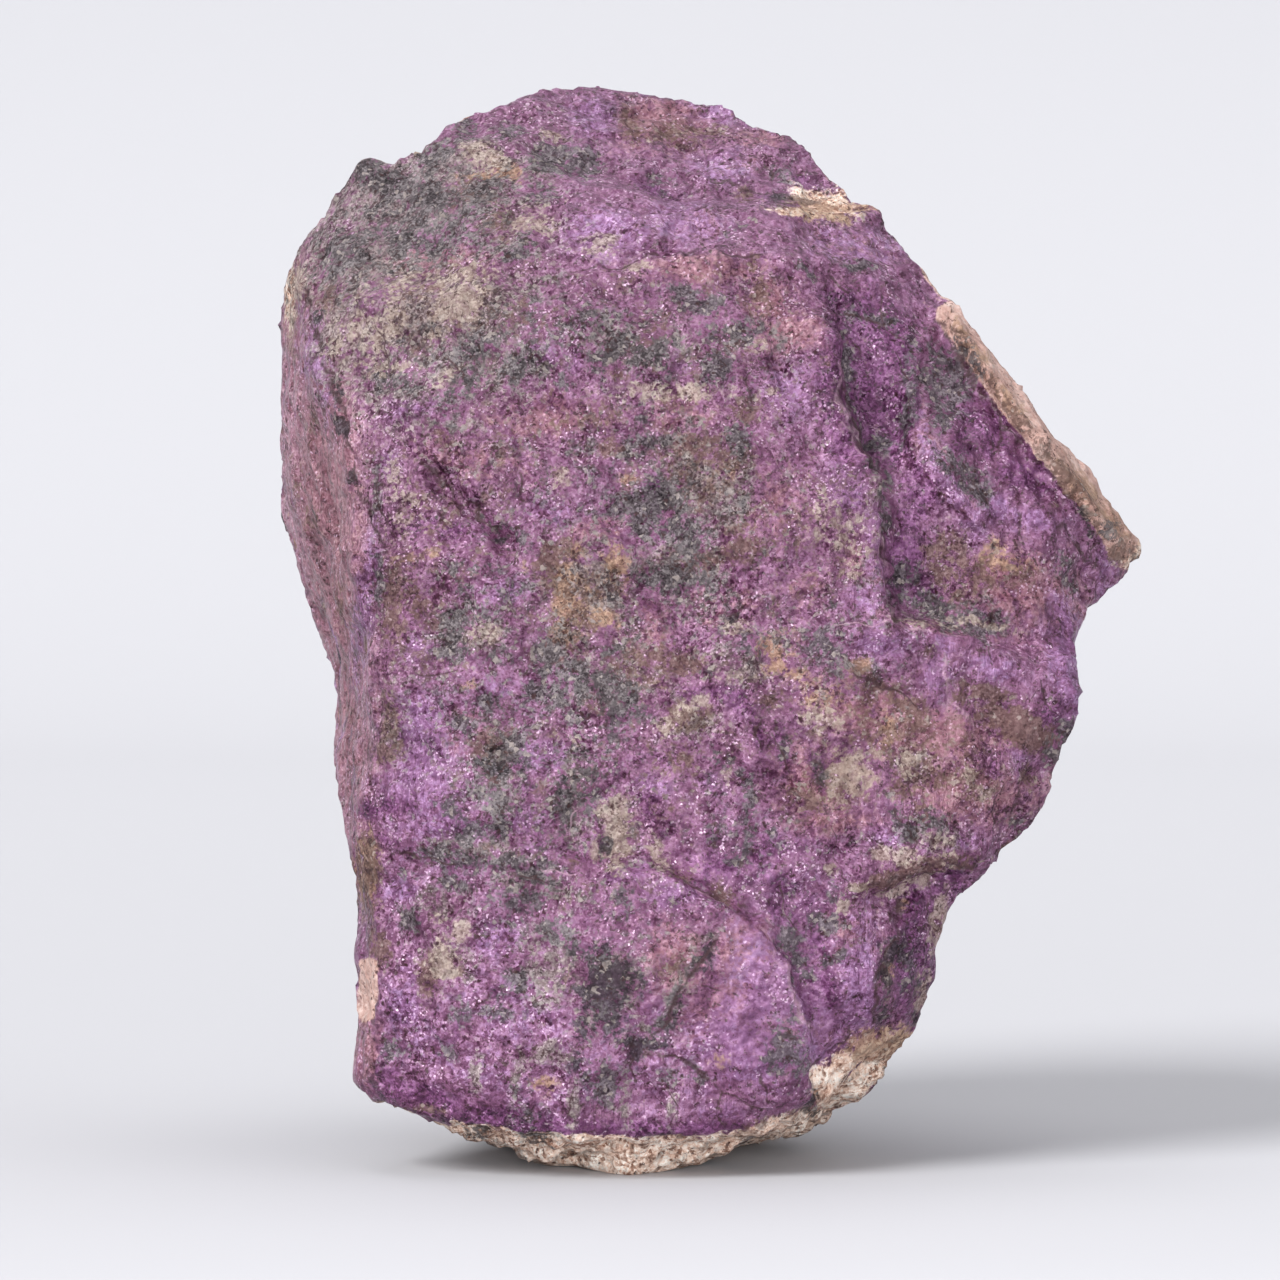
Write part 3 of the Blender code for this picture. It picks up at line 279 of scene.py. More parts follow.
        (-15.3, 60.2, 2.4, 0.5, 0.65, 5), (-17.2, 57.3, 1, 1.2, 0.6), (-19.4, 57.2, 0.7, 1.8, 0.65),
        (-21, 55.6, 0.8, 1.2, 0.6), (-11, 60.6, 1.4, 0.5, 0.6), (-13.3, 53.6, 1, 0.4, 0.6, 30),
        (-18, 53.9, 1.3, 0.3, 0.8, 10), (-17.2, 46.4, 0.4, 0.8, 0.85), (-16.6, 44.2, 0.9, 1.3, 0.65),
        (-5.5, 46.3, 0.5, 0.7, 0.85), (-10.5, 35.4, 1.3, 0.7, 0.5), (-2.8, 62.6, 1.6, 0.5, 0.6),
        (-0.2, 60.9, 0.6, 0.25, 1.2), (-7.2, 64.2, 1.5, 1, 0.6), (2, 52.3, 2.8, 0.5, 0.7),
        (14, 42.8, 1.8, 1.2, 0.75, -50), (-10.9, 68.8, 1, 0.6, 1), (-6.3, 70.1, 0.8, 0.3, 0.8),
        (-1.6, 21.4, 0.5, 1.7, 1.3), (-1.8, 23, 0.7, 0.5, 1.1), (-3, 20.4, 0.35, 0.5, 1),
        (-2.6, 23.2, 0.5, 0.4, 0.8), (1.1, 20.6, 0.35, 0.9, 1, 15), (1.7, 19.4, 0.3, 0.4, 0.9),
        (3.6, 30.6, 1, 0.3, 0.8, 20), (1.8, 29.2, 0.5, 0.6, 0.7), (-5.2, 28.3, 1.2, 0.2, 0.8, -30),
        (18.6, 26.6, 0.35, 0.7, 0.95), (24.2, 24.3, 0.4, 0.35, 1.1), (22.9, 25.3, 0.5, 0.8, 0.7),
        (20.6, 21, 0.8, 0.7, 0.65), (6.6, 35.9, 0.8, 0.7, 0.6), (9.1, 52.4, 0.3, 0.25, 1.2),
        (-13.9, 12.8, 0.6, 0.7, 1.1), (-12.4, 14.9, 0.4, 0.5, 1), (-13.6, 14, 0.4, 0.5, 0.7),
        (-14.1, 15.9, 0.35, 0.35, 0.8), (-5.2, 11.5, 0.25, 0.5, 0.9), (15.1, 17.9, 0.4, 0.25, 1.3),
        (16.6, 20.2, 0.35, 0.45, 1.3), (18.3, 20.1, 0.5, 0.35, 1.2), (19, 18.3, 1.4, 0.25, 0.9, 25),
        (19.9, 18.4, 0.4, 0.3, 1.1), (17.2, 17.6, 1.2, 0.2, 0.9, 5), (13.3, 19.3, 0.3, 0.3, 1.2),
        (14.2, 16.6, 0.3, 0.35, 1.2), (20.9, 15.6, 0.3, 1.4, 1, -15), (19.6, 10.6, 0.4, 1, 1, -20),
        (17.2, 10.1, 0.2, 0.9, 0.7), (24, 36.2, 1.6, 0.2, 0.8, -12), (19.2, 36.3, 1.6, 0.25, 0.85, -5),
        (-18.3, 56.2, 0.3, 1.2, 0.75), (-19.4, 54.3, 0.9, 0.3, 0.9, 20), (31, 44, 0.3, 0.3, 1.1),
        (-23.8, 60, 0.4, 0.8, 0.9), (-24.2, 57, 0.3, 1.6, 0.8), (7.3, 32.6, 2.2, 0.5, 0.6, -5),
        (12.8, 29.6, 1.6, 0.8, 0.5), (14.3, 26, 1.2, 1.4, 1), (5.8, 25.6, 0.5, 0.4, 0.7),
        (8.4, 55.3, 0.4, 0.5, 0.75), (14.8, 39.6, 1.2, 0.5, 0.5),
    ],
    # This lighter pink is painted light on the seen side: it brightens the left face, the top bevel, and
    # edges and ridges where the light falls.
    "blush_and_painted_light": [
        (-22.6, 46, 2.2, 11, 1.25, 4), (-20.8, 31, 1.5, 8, 1.25), (-19.5, 8, 0.7, 3, 0.7),
        (-24.2, 58, 0.9, 3.2, 0.85), (19.5, 51.4, 0.35, 2, 1), (20.6, 48, 0.4, 1.6, 1, 25),
        (21.9, 45.2, 0.5, 1.6, 0.9, 38), (15, 62.6, 2.6, 0.6, 0.75, -8), (2.8, 64, 2.4, 0.7, 0.75),
        (9.7, 10.8, 0.6, 3.2, 0.9, 14), (16.2, 41, 0.4, 3.4, 0.8, 3), (12.8, 9, 0.9, 1.6, 0.7),
        (31.2, 34, 0.7, 3.6, 1.1, 10), (29, 25.4, 0.5, 2.4, 0.8, -25), (-19.8, 57.6, 0.8, 1.6, 0.8),
        (6.4, 68.2, 1.4, 0.6, 0.7), (20.6, 33.4, 1.4, 1, 0.6),
    ],
    # Rose is a redder tone; its long patches down the left face also brighten it where the light falls,
    # and there they are partly painted light.
    "rose": [
        (10.4, 56, 1.6, 1.2, 0.9), (9, 58.6, 1.6, 1.5, 0.7), (4.5, 60.8, 3.2, 0.7, 0.8),
        (15.2, 41.2, 0.8, 1.3, 0.75), (16.8, 29.4, 3.4, 1.7, 0.85, -25), (20.8, 28.6, 2.6, 1.1, 0.95, -5),
        (26, 38.6, 2.6, 1.9, 0.9), (23, 24.6, 3, 1.9, 0.8), (12.6, 25.4, 2.4, 2, 0.8),
        (13.5, 22.4, 2.5, 0.6, 0.8), (7, 12.8, 1.6, 2.4, 0.9, 15), (2.6, 13.2, 2, 2.2, 0.75),
        (4.5, 8.6, 1.6, 1.6, 0.65), (-21.8, 44, 1.3, 8, 1, 4), (-20.4, 34, 0.9, 6, 0.9),
        (-24, 58, 0.6, 3, 1), (-20.2, 27, 0.6, 4, 0.9), (-19.3, 7, 0.7, 2.6, 0.9),
        (-12, 47.6, 3, 1, 0.6, -10), (-6.5, 50.6, 3, 1, 0.65), (-12, 28.2, 1.2, 1.6, 0.7),
        (2.5, 50.8, 2, 1, 0.6), (1.5, 71.2, 2.4, 1.3, 0.9), (8.5, 70.2, 2, 0.5, 0.6),
        (-15.6, 61.4, 3.5, 0.7, 0.8, 5), (5.5, 37.5, 2, 1, 0.6), (9.5, 44.5, 1.6, 2, 0.55),
        (0.6, 36, 1.4, 1.6, 0.6), (24.8, 28, 1.8, 0.6, 0.6), (15, 14.6, 1.6, 1.4, 0.6),
        (33.6, 41.6, 0.8, 1.6, 0.9), (-3.5, 42.6, 1.8, 0.8, 0.6, 20), (11.5, 38.5, 1.6, 1, 0.5),
        (20.5, 36, 3, 0.4, 0.6, -8),
    ],
    # Lilac is a lighter violet tone; its patches along the rim of the lower plate are partly painted
    # highlight.
    "lilac": [
        (-13, 26, 5, 6, 0.52), (9, 12, 5, 6, 0.44), (-6, 8, 12, 5, 0.4), (8.6, 11.6, 1.6, 2.6, 0.95, 12),
        (7.4, 7, 2.8, 2.2, 0.9), (9.8, 10.2, 0.6, 3, 1, 14), (13, 9, 1.8, 1.5, 1.1),
        (15.4, 10.6, 1, 1.8, 0.95), (12.2, 6.6, 1, 0.9, 0.95), (-15.4, 27.4, 1.8, 2.8, 1),
        (-16, 30.4, 1.5, 0.9, 0.9), (-15, 24.4, 2, 1, 0.95), (-14.2, 22.4, 1.9, 0.9, 0.85),
        (-9.6, 38.3, 1.6, 0.8, 0.85, 10), (-6.4, 27, 1.7, 0.8, 1), (-7.8, 22.6, 1.2, 0.9, 0.9),
        (-7.4, 20.6, 0.9, 0.5, 0.8), (3, 64, 2, 1, 0.95), (-2.4, 63.4, 2.4, 1.3, 0.9),
        (15, 62.5, 2.6, 0.7, 0.85, -8), (10.4, 52.6, 1.9, 1.9, 0.7), (14.4, 45.2, 1.1, 1.9, 0.85, 20),
        (16.2, 40.8, 0.5, 3, 1, 3), (15.4, 37.6, 1.2, 0.9, 0.8), (20.6, 33, 0.9, 1.7, 0.95),
        (16.4, 34.7, 1.6, 0.9, 0.75), (30, 33.4, 1, 3.2, 1.1, 10), (15.4, 11.8, 0.8, 2.8, 1.15, 5),
        (-7, 54.7, 1, 0.6, 1.1), (-4.6, 54.4, 0.5, 0.6, 1), (19.4, 51.6, 0.35, 1.6, 1),
        (20.4, 48, 0.4, 1.5, 0.95, 25), (21.8, 45.4, 0.5, 1.6, 0.95, 38), (25, 44.3, 0.8, 0.7, 1),
        (27.5, 43.5, 1, 0.6, 0.9), (6, 68, 1.4, 0.8, 0.95), (-3, 71.4, 1.1, 0.9, 0.9),
        (5.2, 71.6, 1.5, 0.5, 0.85, -15), (2, 17.4, 1.4, 0.7, 1), (-0.9, 18.8, 1.2, 0.6, 0.85, 10),
        (-16.8, 17.8, 1.1, 0.6, 0.95), (-10, 14.4, 1.6, 0.9, 0.7), (-16.4, 10, 0.9, 2, 0.7),
        (32.6, 40.4, 0.7, 1.5, 0.8, -20), (-20, 58.4, 0.9, 0.5, 1), (-19.2, 56.6, 0.5, 0.5, 0.95),
        (-15.8, 51.3, 1.4, 0.8, 0.8), (-13.8, 54.4, 0.5, 0.6, 0.85), (-17.4, 47.2, 0.5, 0.8, 0.9),
        (-15.5, 34.6, 0.9, 0.7, 1), (1.2, 45.9, 0.6, 0.6, 0.9), (2.9, 54.6, 0.7, 0.8, 0.9),
        (0.8, 25, 1, 0.7, 0.9), (5, 25.2, 0.9, 0.6, 0.7), (21.6, 21, 1.4, 0.5, 0.9, 10),
        (17, 21.4, 1, 0.6, 0.8), (24.5, 33.2, 1.4, 0.9, 0.7, -20), (26.8, 26.6, 0.9, 1.2, 0.7),
        (-10.6, 31.8, 2, 0.6, 0.7), (15.6, 15.4, 0.9, 1.3, 0.7, 15), (-22.5, 54.5, 0.8, 3, 0.85, 12),
        (-19.2, 37.5, 0.5, 4.5, 0.9, -6), (5.5, 2.2, 1.8, 0.8, 0.5), (-6.5, 43.8, 2, 0.9, 0.6),
        (6.2, 9.8, 1, 0.9, 0.7), (23, 42.6, 0.8, 1.2, 0.7, -10),
    ],
    # Plum is a darker tone; in the recess right of the middle it is partly painted shade, and its narrow
    # bands along the bottom edge darken the face there.
    "plum": [
        (-3, 21, 10, 8, 0.46), (7, 19, 4, 2.4, 0.6, -10), (11.6, 15, 1.6, 2.6, 0.7, -20),
        (12.8, 11.4, 0.8, 2.4, 0.75, 10), (11.6, 11.6, 0.6, 2.8, 0.85, 14),
        (9.6, 16.2, 1.4, 0.5, 0.8, -40), (16, 52.8, 2, 3.4, 1.9), (17, 49.2, 1.2, 1.8, 1.1),
        (15.4, 56, 1.9, 0.9, 1.1, -20), (18.6, 41.4, 1, 2.8, 0.95, -5), (19.4, 45.6, 1.2, 1.4, 0.8),
        (19.6, 38.4, 0.9, 1.3, 1), (17.8, 56, 1.4, 0.8, 0.8, -20), (14.6, 58.6, 1.7, 0.7, 0.7, -15),
        (5, 19.6, 2.4, 0.8, 0.85, -10), (9.2, 20.6, 2.8, 0.8, 0.8), (8.1, 28.8, 0.3, 1.5, 0.85, 12),
        (9.8, 27.6, 0.5, 1.4, 0.95, 10), (12.4, 26.2, 0.45, 1.4, 0.95, 12), (4.6, 31.4, 2.2, 0.6, 0.85),
        (7.4, 30.6, 1.5, 0.9, 0.65), (19.2, 16.8, 0.8, 1.4, 1.05), (21.4, 18, 0.6, 1.6, 1.15, -32),
        (18.8, 13.6, 1, 1.6, 1), (18.8, 10.8, 0.9, 1.5, 0.95), (20, 12.4, 0.5, 1.6, 0.9),
        (23.6, 50, 1.9, 1.6, 0.85, -40), (26.6, 47, 1.6, 1, 0.9, -45), (22.2, 48.4, 1, 0.5, 0.9, -15),
        (-15.4, 43, 1.6, 0.6, 0.75), (-13, 42.6, 1.2, 0.5, 0.8), (-17.4, 23.6, 1.5, 0.5, 0.85, -10),
        (-19, 23.2, 0.8, 0.7, 0.85), (-17.4, 21.2, 1.3, 0.3, 0.7, -20), (-15, 3.4, 3.2, 0.6, 0.9, -12),
        (-9.5, 1.9, 4, 0.6, 1, -5), (-4, 1.2, 5, 0.45, 1), (4, 1.1, 4, 0.4, 0.9, 3),
        (-17.6, 5.2, 0.8, 0.8, 0.7), (-0.4, 37.6, 0.8, 0.8, 0.6), (3, 31.6, 0.9, 0.4, 0.8),
        (-14.6, 45, 0.8, 0.5, 0.7), (-17, 50.2, 0.8, 0.5, 0.6), (1.6, 41.6, 1, 1.2, 0.8),
        (-5.8, 22.6, 0.4, 1.2, 0.6), (-7.9, 24.8, 0.9, 0.7, 0.8), (0.6, 23.4, 1, 1.6, 0.6),
        (14.2, 48, 0.3, 0.3, 1.2), (24.6, 26, 0.6, 0.9, 0.6), (28.4, 29.6, 0.8, 1.2, 0.75, -20),
        (10, 17.8, 0.8, 1.4, 0.8, 10), (12.4, 14, 0.9, 1.2, 0.65), (11.6, 67, 1.2, 0.6, 0.7, -30),
        (8.8, 65.9, 1.2, 0.3, 0.7), (1.2, 66.4, 1.4, 0.4, 0.8, -25), (-14.2, 50.6, 0.6, 0.5, 0.6),
        (29, 47.2, 0.6, 0.4, 0.8, -45),
    ],
    "crust": [
        (13.5, 4, 1.1, 1, 1.35, 25), (15, 4.7, 1.4, 1.1, 1.35, 30), (16, 5.8, 1.1, 0.8, 1.1, 25),
        (17.4, 6.2, 1.3, 0.9, 1.2, 35), (12.6, 1.6, 1.4, 0.7, 1.3), (13, 65.4, 1.8, 0.8, 1, -20),
        (10.8, 64.9, 1.8, 0.35, 0.8, -3), (34.2, 41.3, 0.8, 1.2, 1.1, 20), (-24.4, 59.6, 0.3, 2, 0.9),
        (9.6, 1.2, 2.2, 0.5, 1.1, 15),
    ],
    "streak": [
        (-19.2, 44, 1.3, 5, 1.1, -12), (-19, 36, 1.2, 6, 1.1, -4), (-19.4, 28, 1, 4, 0.9),
        (-21.8, 53, 1.2, 4, 0.8, 15), (-22.6, 46, 2, 7, 0.7, 5), (-21, 36, 1.2, 7, 0.55),
        (19.5, 24, 2.5, 3.5, 0.6), (25.5, 24.5, 2.5, 3.5, 0.8, 10), (16.5, 14, 1.5, 4, 0.7),
        (15.6, 41, 1.5, 4, 0.7, 5), (24, 33, 3.5, 2, 0.6), (2, 3, 8, 2, 0.6), (-15, 27, 2.5, 4, 0.5),
        (22, 43, 2, 5, 0.5, -20),
    ],
    "smooth": [
        (7.5, 9.5, 5, 7.5, 0.9, 15), (0.5, 12, 6, 6, 0.6), (14.3, 26, 1.3, 1.5, 1),
        (26.6, 28.8, 1.6, 0.7, 1, -28), (19, 31, 3, 1.5, 0.7, -30), (24.5, 33.2, 3, 1.2, 0.7, -15),
        (-15.5, 26, 2, 3.5, 0.5), (16.2, 40.8, 0.8, 4, 0.6, 3),
    ],
}

# Lines that run over the surface, cut as grooves and coloured with painted shade, for the shade in cracks
# and seams and at the foot of edges: half width, depth of the groove, then across and up.
DARK_LINES = [
    (0.13, 0.16, [(-5, 61.1), (-2.6, 61.2), (-0.6, 61.5), (1.2, 61.8), (3.1, 62), (6, 62), (9.2, 61.9)]),
    (0.22, 0.45, [
        (-23.5, 59.2), (-22.9, 56.4), (-22, 53.6), (-21.3, 51.6), (-20.8, 49.8), (-20.2, 47.6),
        (-19.8, 46), (-19, 44), (-18.4, 42),
    ]),
    (0.1, 0.2, [(-18.6, 46.6), (-18.2, 44.6), (-17.6, 43.4), (-17.3, 42.6)]),
    (0.22, 0.5, [(-15.2, 47.4), (-14.1, 46.4), (-12.9, 45.4), (-12, 44.5), (-11.1, 43.7), (-10.2, 42.8)]),
    (0.14, 0.4, [(-8.7, 46.7), (-8.3, 45.9), (-8.2, 44.9)]),
    (0.09, 0.12, [(-15.4, 32.6), (-14.2, 32.6), (-12.8, 32.9)]),
    (0.14, 0.2, [(-17.6, 20.6), (-16.8, 20.1), (-15, 19.8), (-13.2, 19.6)]),
    (0.16, 0.2, [(-9.4, 19.3), (-8, 18.8), (-6.6, 18.3)]),
    (0.16, 0.3, [(2.2, 18.7), (3.8, 18.2), (5.2, 17.5), (6.6, 16.7), (8.2, 16.4)]),
    (0.1, 0.22, [(10.1, 18.4), (10.2, 17), (10.4, 15.8), (10.8, 14.6)]),
    (0.07, 0.12, [(13.2, 22), (13.6, 20.8), (13.6, 19.6), (14, 18.6), (14.5, 18.1)]),
    (0.07, 0.12, [(18.4, 26.2), (18.6, 24.6), (18.7, 22.8), (19.2, 20.4)]),
    (0.08, 0.12, [(25.2, 24.8), (24.9, 23.4), (24.6, 22)]),
    (0.08, 0.15, [(26.4, 24.8), (26.1, 23.4), (26.1, 22)]),
    (0.07, 0.1, [(24, 35), (24.1, 34), (24.2, 33.2)]),
    (0.12, 0.18, [(27.8, 32.2), (28.1, 31.2), (28.6, 30.3)]),
    (0.09, 0.15, [(27.2, 31.6), (26.9, 30.8), (26.6, 30)]),
    (0.2, 0.4, [(26.4, 44), (26.4, 43.1), (26.6, 42.2)]),
    (0.22, 0.4, [(29.4, 43), (29.9, 42.1), (30.5, 41.3), (31.2, 40.4)]),
    (0.1, 0.2, [(32, 42), (31.5, 41), (31, 39.6)]),
    (0.28, 0.45, [
        (20.6, 57.5), (21.3, 56), (22.8, 53.8), (24.4, 51.9), (25.2, 50.4), (26.5, 48.6), (27.7, 47.4),
        (28.8, 46.4),
    ]),
    (0.12, 0.3, [(25.2, 50.2), (25.2, 49.2), (24.8, 48.2)]),
    (0.26, 0.35, [
        (13.7, 56.4), (13.7, 54), (13.8, 51.6), (14.3, 49.9), (15.4, 48), (16.3, 46.6), (16.8, 44.8),
        (17, 42.4), (17.2, 40), (17.5, 37.4), (17.8, 36.4),
    ]),
    (0.12, 0.25, [(14.2, 56.2), (15, 55.6), (15.6, 55)]),
    (0.16, 0.3, [(14.4, 57.6), (15.8, 57.3), (17.2, 56.7), (18.2, 56.4)]),
    (0.1, 0.2, [(17.2, 59.2), (16.8, 58.2), (16.7, 57.2)]),
    (0.1, 0.2, [(17.8, 55), (18.3, 54.2), (18.8, 53.2)]),
    (0.12, 0.22, [(13.2, 61.6), (13.6, 60.6), (13.8, 59.8), (14.6, 59.4)]),
    (0.08, 0.12, [(13.6, 61.6), (14.8, 62), (16, 61.8)]),
    (0.26, 0.3, [(-0.4, 6.9), (1, 6.7), (2.4, 6.2), (3.6, 5.5), (4.7, 4.5)]),
    (0.14, 0.2, [(4.7, 4.5), (5.8, 3.5), (7, 3.1), (8.6, 2.8)]),
    (0.1, 0.18, [(5.4, 3.6), (5.6, 2.4), (5.9, 1.3)]),
    (0.1, 0.15, [(8.3, 5), (8.4, 4), (8.8, 3.2)]),
    (0.14, 0.18, [(-0.4, 6.6), (-0.7, 5.4), (-0.5, 4.2), (-0.9, 3)]),
    (0.18, 0.18, [(0.8, 7.5), (1.9, 8.6), (2.6, 10), (3.2, 11.4), (4, 12.6), (4.8, 13.6), (5.1, 14.6)]),
    (0.12, 0.18, [(4.2, 11.2), (5.4, 10.7), (6.8, 10.3)]),
    (0.08, 0.12, [(2.4, 3.4), (2.4, 1.8)]),
    (0.08, 0.12, [(-4.8, 3.8), (-4.8, 2.2)]),
    (0.22, 0.35, [
        (17.9, 16.8), (18.1, 15.4), (18.2, 14.4), (17.2, 13.2), (16.6, 12), (16.5, 10.4), (16.4, 8.9),
    ]),
    (0.16, 0.3, [(14.6, 8.2), (14.3, 7), (13.4, 6.3), (12.2, 5.6), (11.6, 4.6)]),
    (0.16, 0.3, [(15.6, 18), (17, 18.6), (19, 19.3), (21, 19.8), (23.4, 20.1)]),
    (0.1, 0.25, [(8.3, 29.6), (8, 28.6), (8.3, 27.6)]),
    (0.14, 0.3, [(9.2, 28.8), (9.8, 27.4), (10.3, 26)]),
    (0.14, 0.35, [(11.9, 27.6), (12.3, 26.2), (12.9, 24.8)]),
    (0.14, 0.25, [(17.2, 24.2), (17.7, 23), (18.4, 22), (18.8, 21)]),
    (0.14, 0.3, [(4.5, 69), (4.6, 68), (4.8, 67), (6.4, 66.9), (8.4, 66.4)]),
    (0.18, 0.4, [(8.9, 68.4), (9.2, 67.2), (9.6, 66.2), (10.6, 66), (12, 66.1)]),
    (0.1, 0.14, [(10.6, 24.6), (11.8, 24.2), (12.6, 23.2)]),
    (0.1, 0.2, [(15, 33), (16.4, 32.2), (18, 31.2), (19.6, 30.4)]),
    (0.12, 0.18, [(-13.4, 55), (-12.8, 54.2), (-12.4, 53.4)]),
    (0.1, 0.2, [(-18.2, 56.8), (-18, 55.4), (-18.1, 54.2)]),
    (0.1, 0.2, [(7.6, 54), (7.6, 52.8), (7.8, 51.6)]),
    (0.16, 0.3, [(23.4, 46), (24.2, 45), (24.6, 43.8)]),
    (0.1, 0.2, [(-18.6, 30.6), (-18.5, 28.6), (-18.3, 26.6)]),
    (0.1, 0.2, [(20.1, 18.2), (20.4, 16.8), (20.3, 15.4)]),
]

# Lines of painted highlight along the crests of edges and rims, without a groove: half width, then across
# and up.
PAINTED_HIGHLIGHT_LINES = [
    (0.1, [
        (13.8, 36), (15.8, 36.1), (17.9, 36), (20.6, 35.8), (22.2, 35.3), (23.7, 34.8), (25.6, 34.3),
        (27.4, 33.9),
    ]),
    (0.14, [(13.4, 54.2), (13.5, 52.4), (13.8, 50.2), (14.8, 48.6), (15.4, 47.7)]),
    (0.14, [(16.6, 44.6), (16.8, 42.6), (17, 40.4), (17.2, 38.2), (17.5, 36.4)]),
    (0.22, [(8.6, 15), (9.3, 13.4), (9.9, 11.8), (10.5, 10), (11, 8.2)]),
    (0.12, [(4.2, 17.9), (5.6, 17), (7.2, 16.4)]),
    (0.16, [(21.3, 33.8), (21.4, 32.6), (21.4, 31.4), (21.7, 30.6), (22.4, 29.8), (23.2, 28.9)]),
    (0.12, [(-3.4, 61.5), (-1.8, 61.6), (0, 62), (0.8, 62.1)]),
    (0.08, [(10, 62.1), (10.8, 61.9)]),
    (0.14, [(16.9, 15.4), (17.3, 14.6), (16.6, 13.6)]),
    (0.1, [(-6.8, 19.2), (-6, 18.8), (-4.8, 18.8)]),
    (0.09, [(0.8, 18.9), (1.3, 17.9)]),
    (0.1, [(-4.4, 23.6), (-4.7, 22.8), (-4.6, 22)]),
]

# Bands of the pinkish rind, in the same way.
RIND_BANDS = [
    (0.7, [(-18.8, 12.6), (-19.2, 9)]),
    (0.85, [
        (21.2, 58), (22.3, 56.3), (23.8, 54.2), (25.4, 51.9), (27.1, 49.8), (28.7, 47.9), (30.2, 46.2),
        (31.5, 44.4), (32.7, 42.6), (33.4, 41.2),
    ]),
    (0.95, [(22.4, 57.2), (24.8, 54.4), (27.6, 51), (30.6, 47.6), (33, 44.6), (34.4, 42.4)]),
    (0.18, [(14.6, 66.2), (16.6, 64.8), (18.4, 62.4), (20.2, 60.3), (21.4, 58.8)]),
]

# Steps in the surface: height, how far the raised side takes to fall back, then across and up.
# The raised side lies to the left of the way the points run.
LEDGES = [
    (0.75, 5, [
        (11.9, 3.5), (11.5, 7.3), (10.8, 10.1), (9.6, 13.2), (8, 15.3), (5.9, 16.8), (3.5, 17.7),
        (1.4, 19), (-1.4, 19.5), (-4.5, 18.4),
    ]),
    (0.95, 4, [
        (17.4, 36.1), (16.9, 39.2), (16.7, 42.7), (16.1, 46.2), (15.3, 49), (14.2, 51.7), (13.6, 54.5),
        (13.4, 57.6),
    ]),
    (0.55, 3, [(30.2, 32), (27.8, 33.1), (25, 34.3), (21.5, 35.4), (18, 35.8), (14, 35.8)]),
    (0.6, 2.5, [(15.4, 17.7), (18, 18.4), (20.8, 19.1), (23.9, 19.7)]),
    (0.45, 3, [(6, 62.2), (0.5, 61.6), (-3, 60.6), (-6.5, 58.8), (-9, 59.4)]),
    (0.45, 2.5, [(9.4, 31.2), (12.6, 32.6), (16.4, 32.4), (20.6, 30.4)]),
    (0.3, 2.5, [(-18, 20.8), (-14, 19.9), (-9.5, 19.5), (-6, 18.5)]),
    (0.6, 3, [
        (26.2, 40.8), (24.7, 42.3), (23.5, 43.8), (22.5, 44.9), (21.5, 46.4), (20.5, 48.3), (19.6, 50.1),
        (19.2, 51.2), (19.5, 53.5),
    ]),
    (0.4, 2.5, [(19.1, 49.8), (17.6, 48.8), (16.2, 48.2), (14.7, 47.8)]),
    (0.45, 1.6, [
        (21, 56.4), (22.5, 54.2), (24.2, 52), (25.7, 50.1), (26.9, 48.3), (28.1, 46.9), (29.1, 44.9),
        (30.2, 43), (31.5, 41.8),
    ]),
]
LEDGE_HALF_WIDTH = 0.3
LEDGE_END_FADE = 1.2

# Small knobs and hollows: across, up, radius, and height, or depth where it is negative.
KNOBS = [
    (-18.9, 68, 1.1, 0.9), (-6.9, 73, 1.6, 0.6), (5.9, 72.1, 1.6, 0.8), (16.6, 64.6, 1.2, 0.8),
    (14, 66.6, 1, 0.5), (22.2, 58.2, 1, 0.4), (34.2, 41.6, 1.2, 0.5), (26.6, 22.4, 1.6, 0.6),
    (23.6, 18.6, 1.6, 0.5), (-19, 4.4, 1.2, 0.4), (15.6, 3.6, 1.4, 0.5), (16.6, 52.4, 2.9, -0.7),
    (17, 49.6, 1.6, -0.4), (21.4, 53, 1.6, -0.4), (22.8, 46.4, 1.3, -0.4), (-2.4, 20.9, 0.5, -0.7),
    (-2.9, 20, 0.4, -0.5),
]

# The bottom edge of the purple face. Crust shows below it, between two places across.
BOTTOM_EDGE = [
    (-14, 2.2), (-12, 1.5), (-8, 1), (-4, 0.7), (1, 0.5), (5, 0.7), (8, 1.1), (10.6, 2), (12.5, 2.6),
]
BOTTOM_EDGE_SPAN = (-13.2, 13.5)
BOTTOM_EDGE_SOFTNESS = 0.5

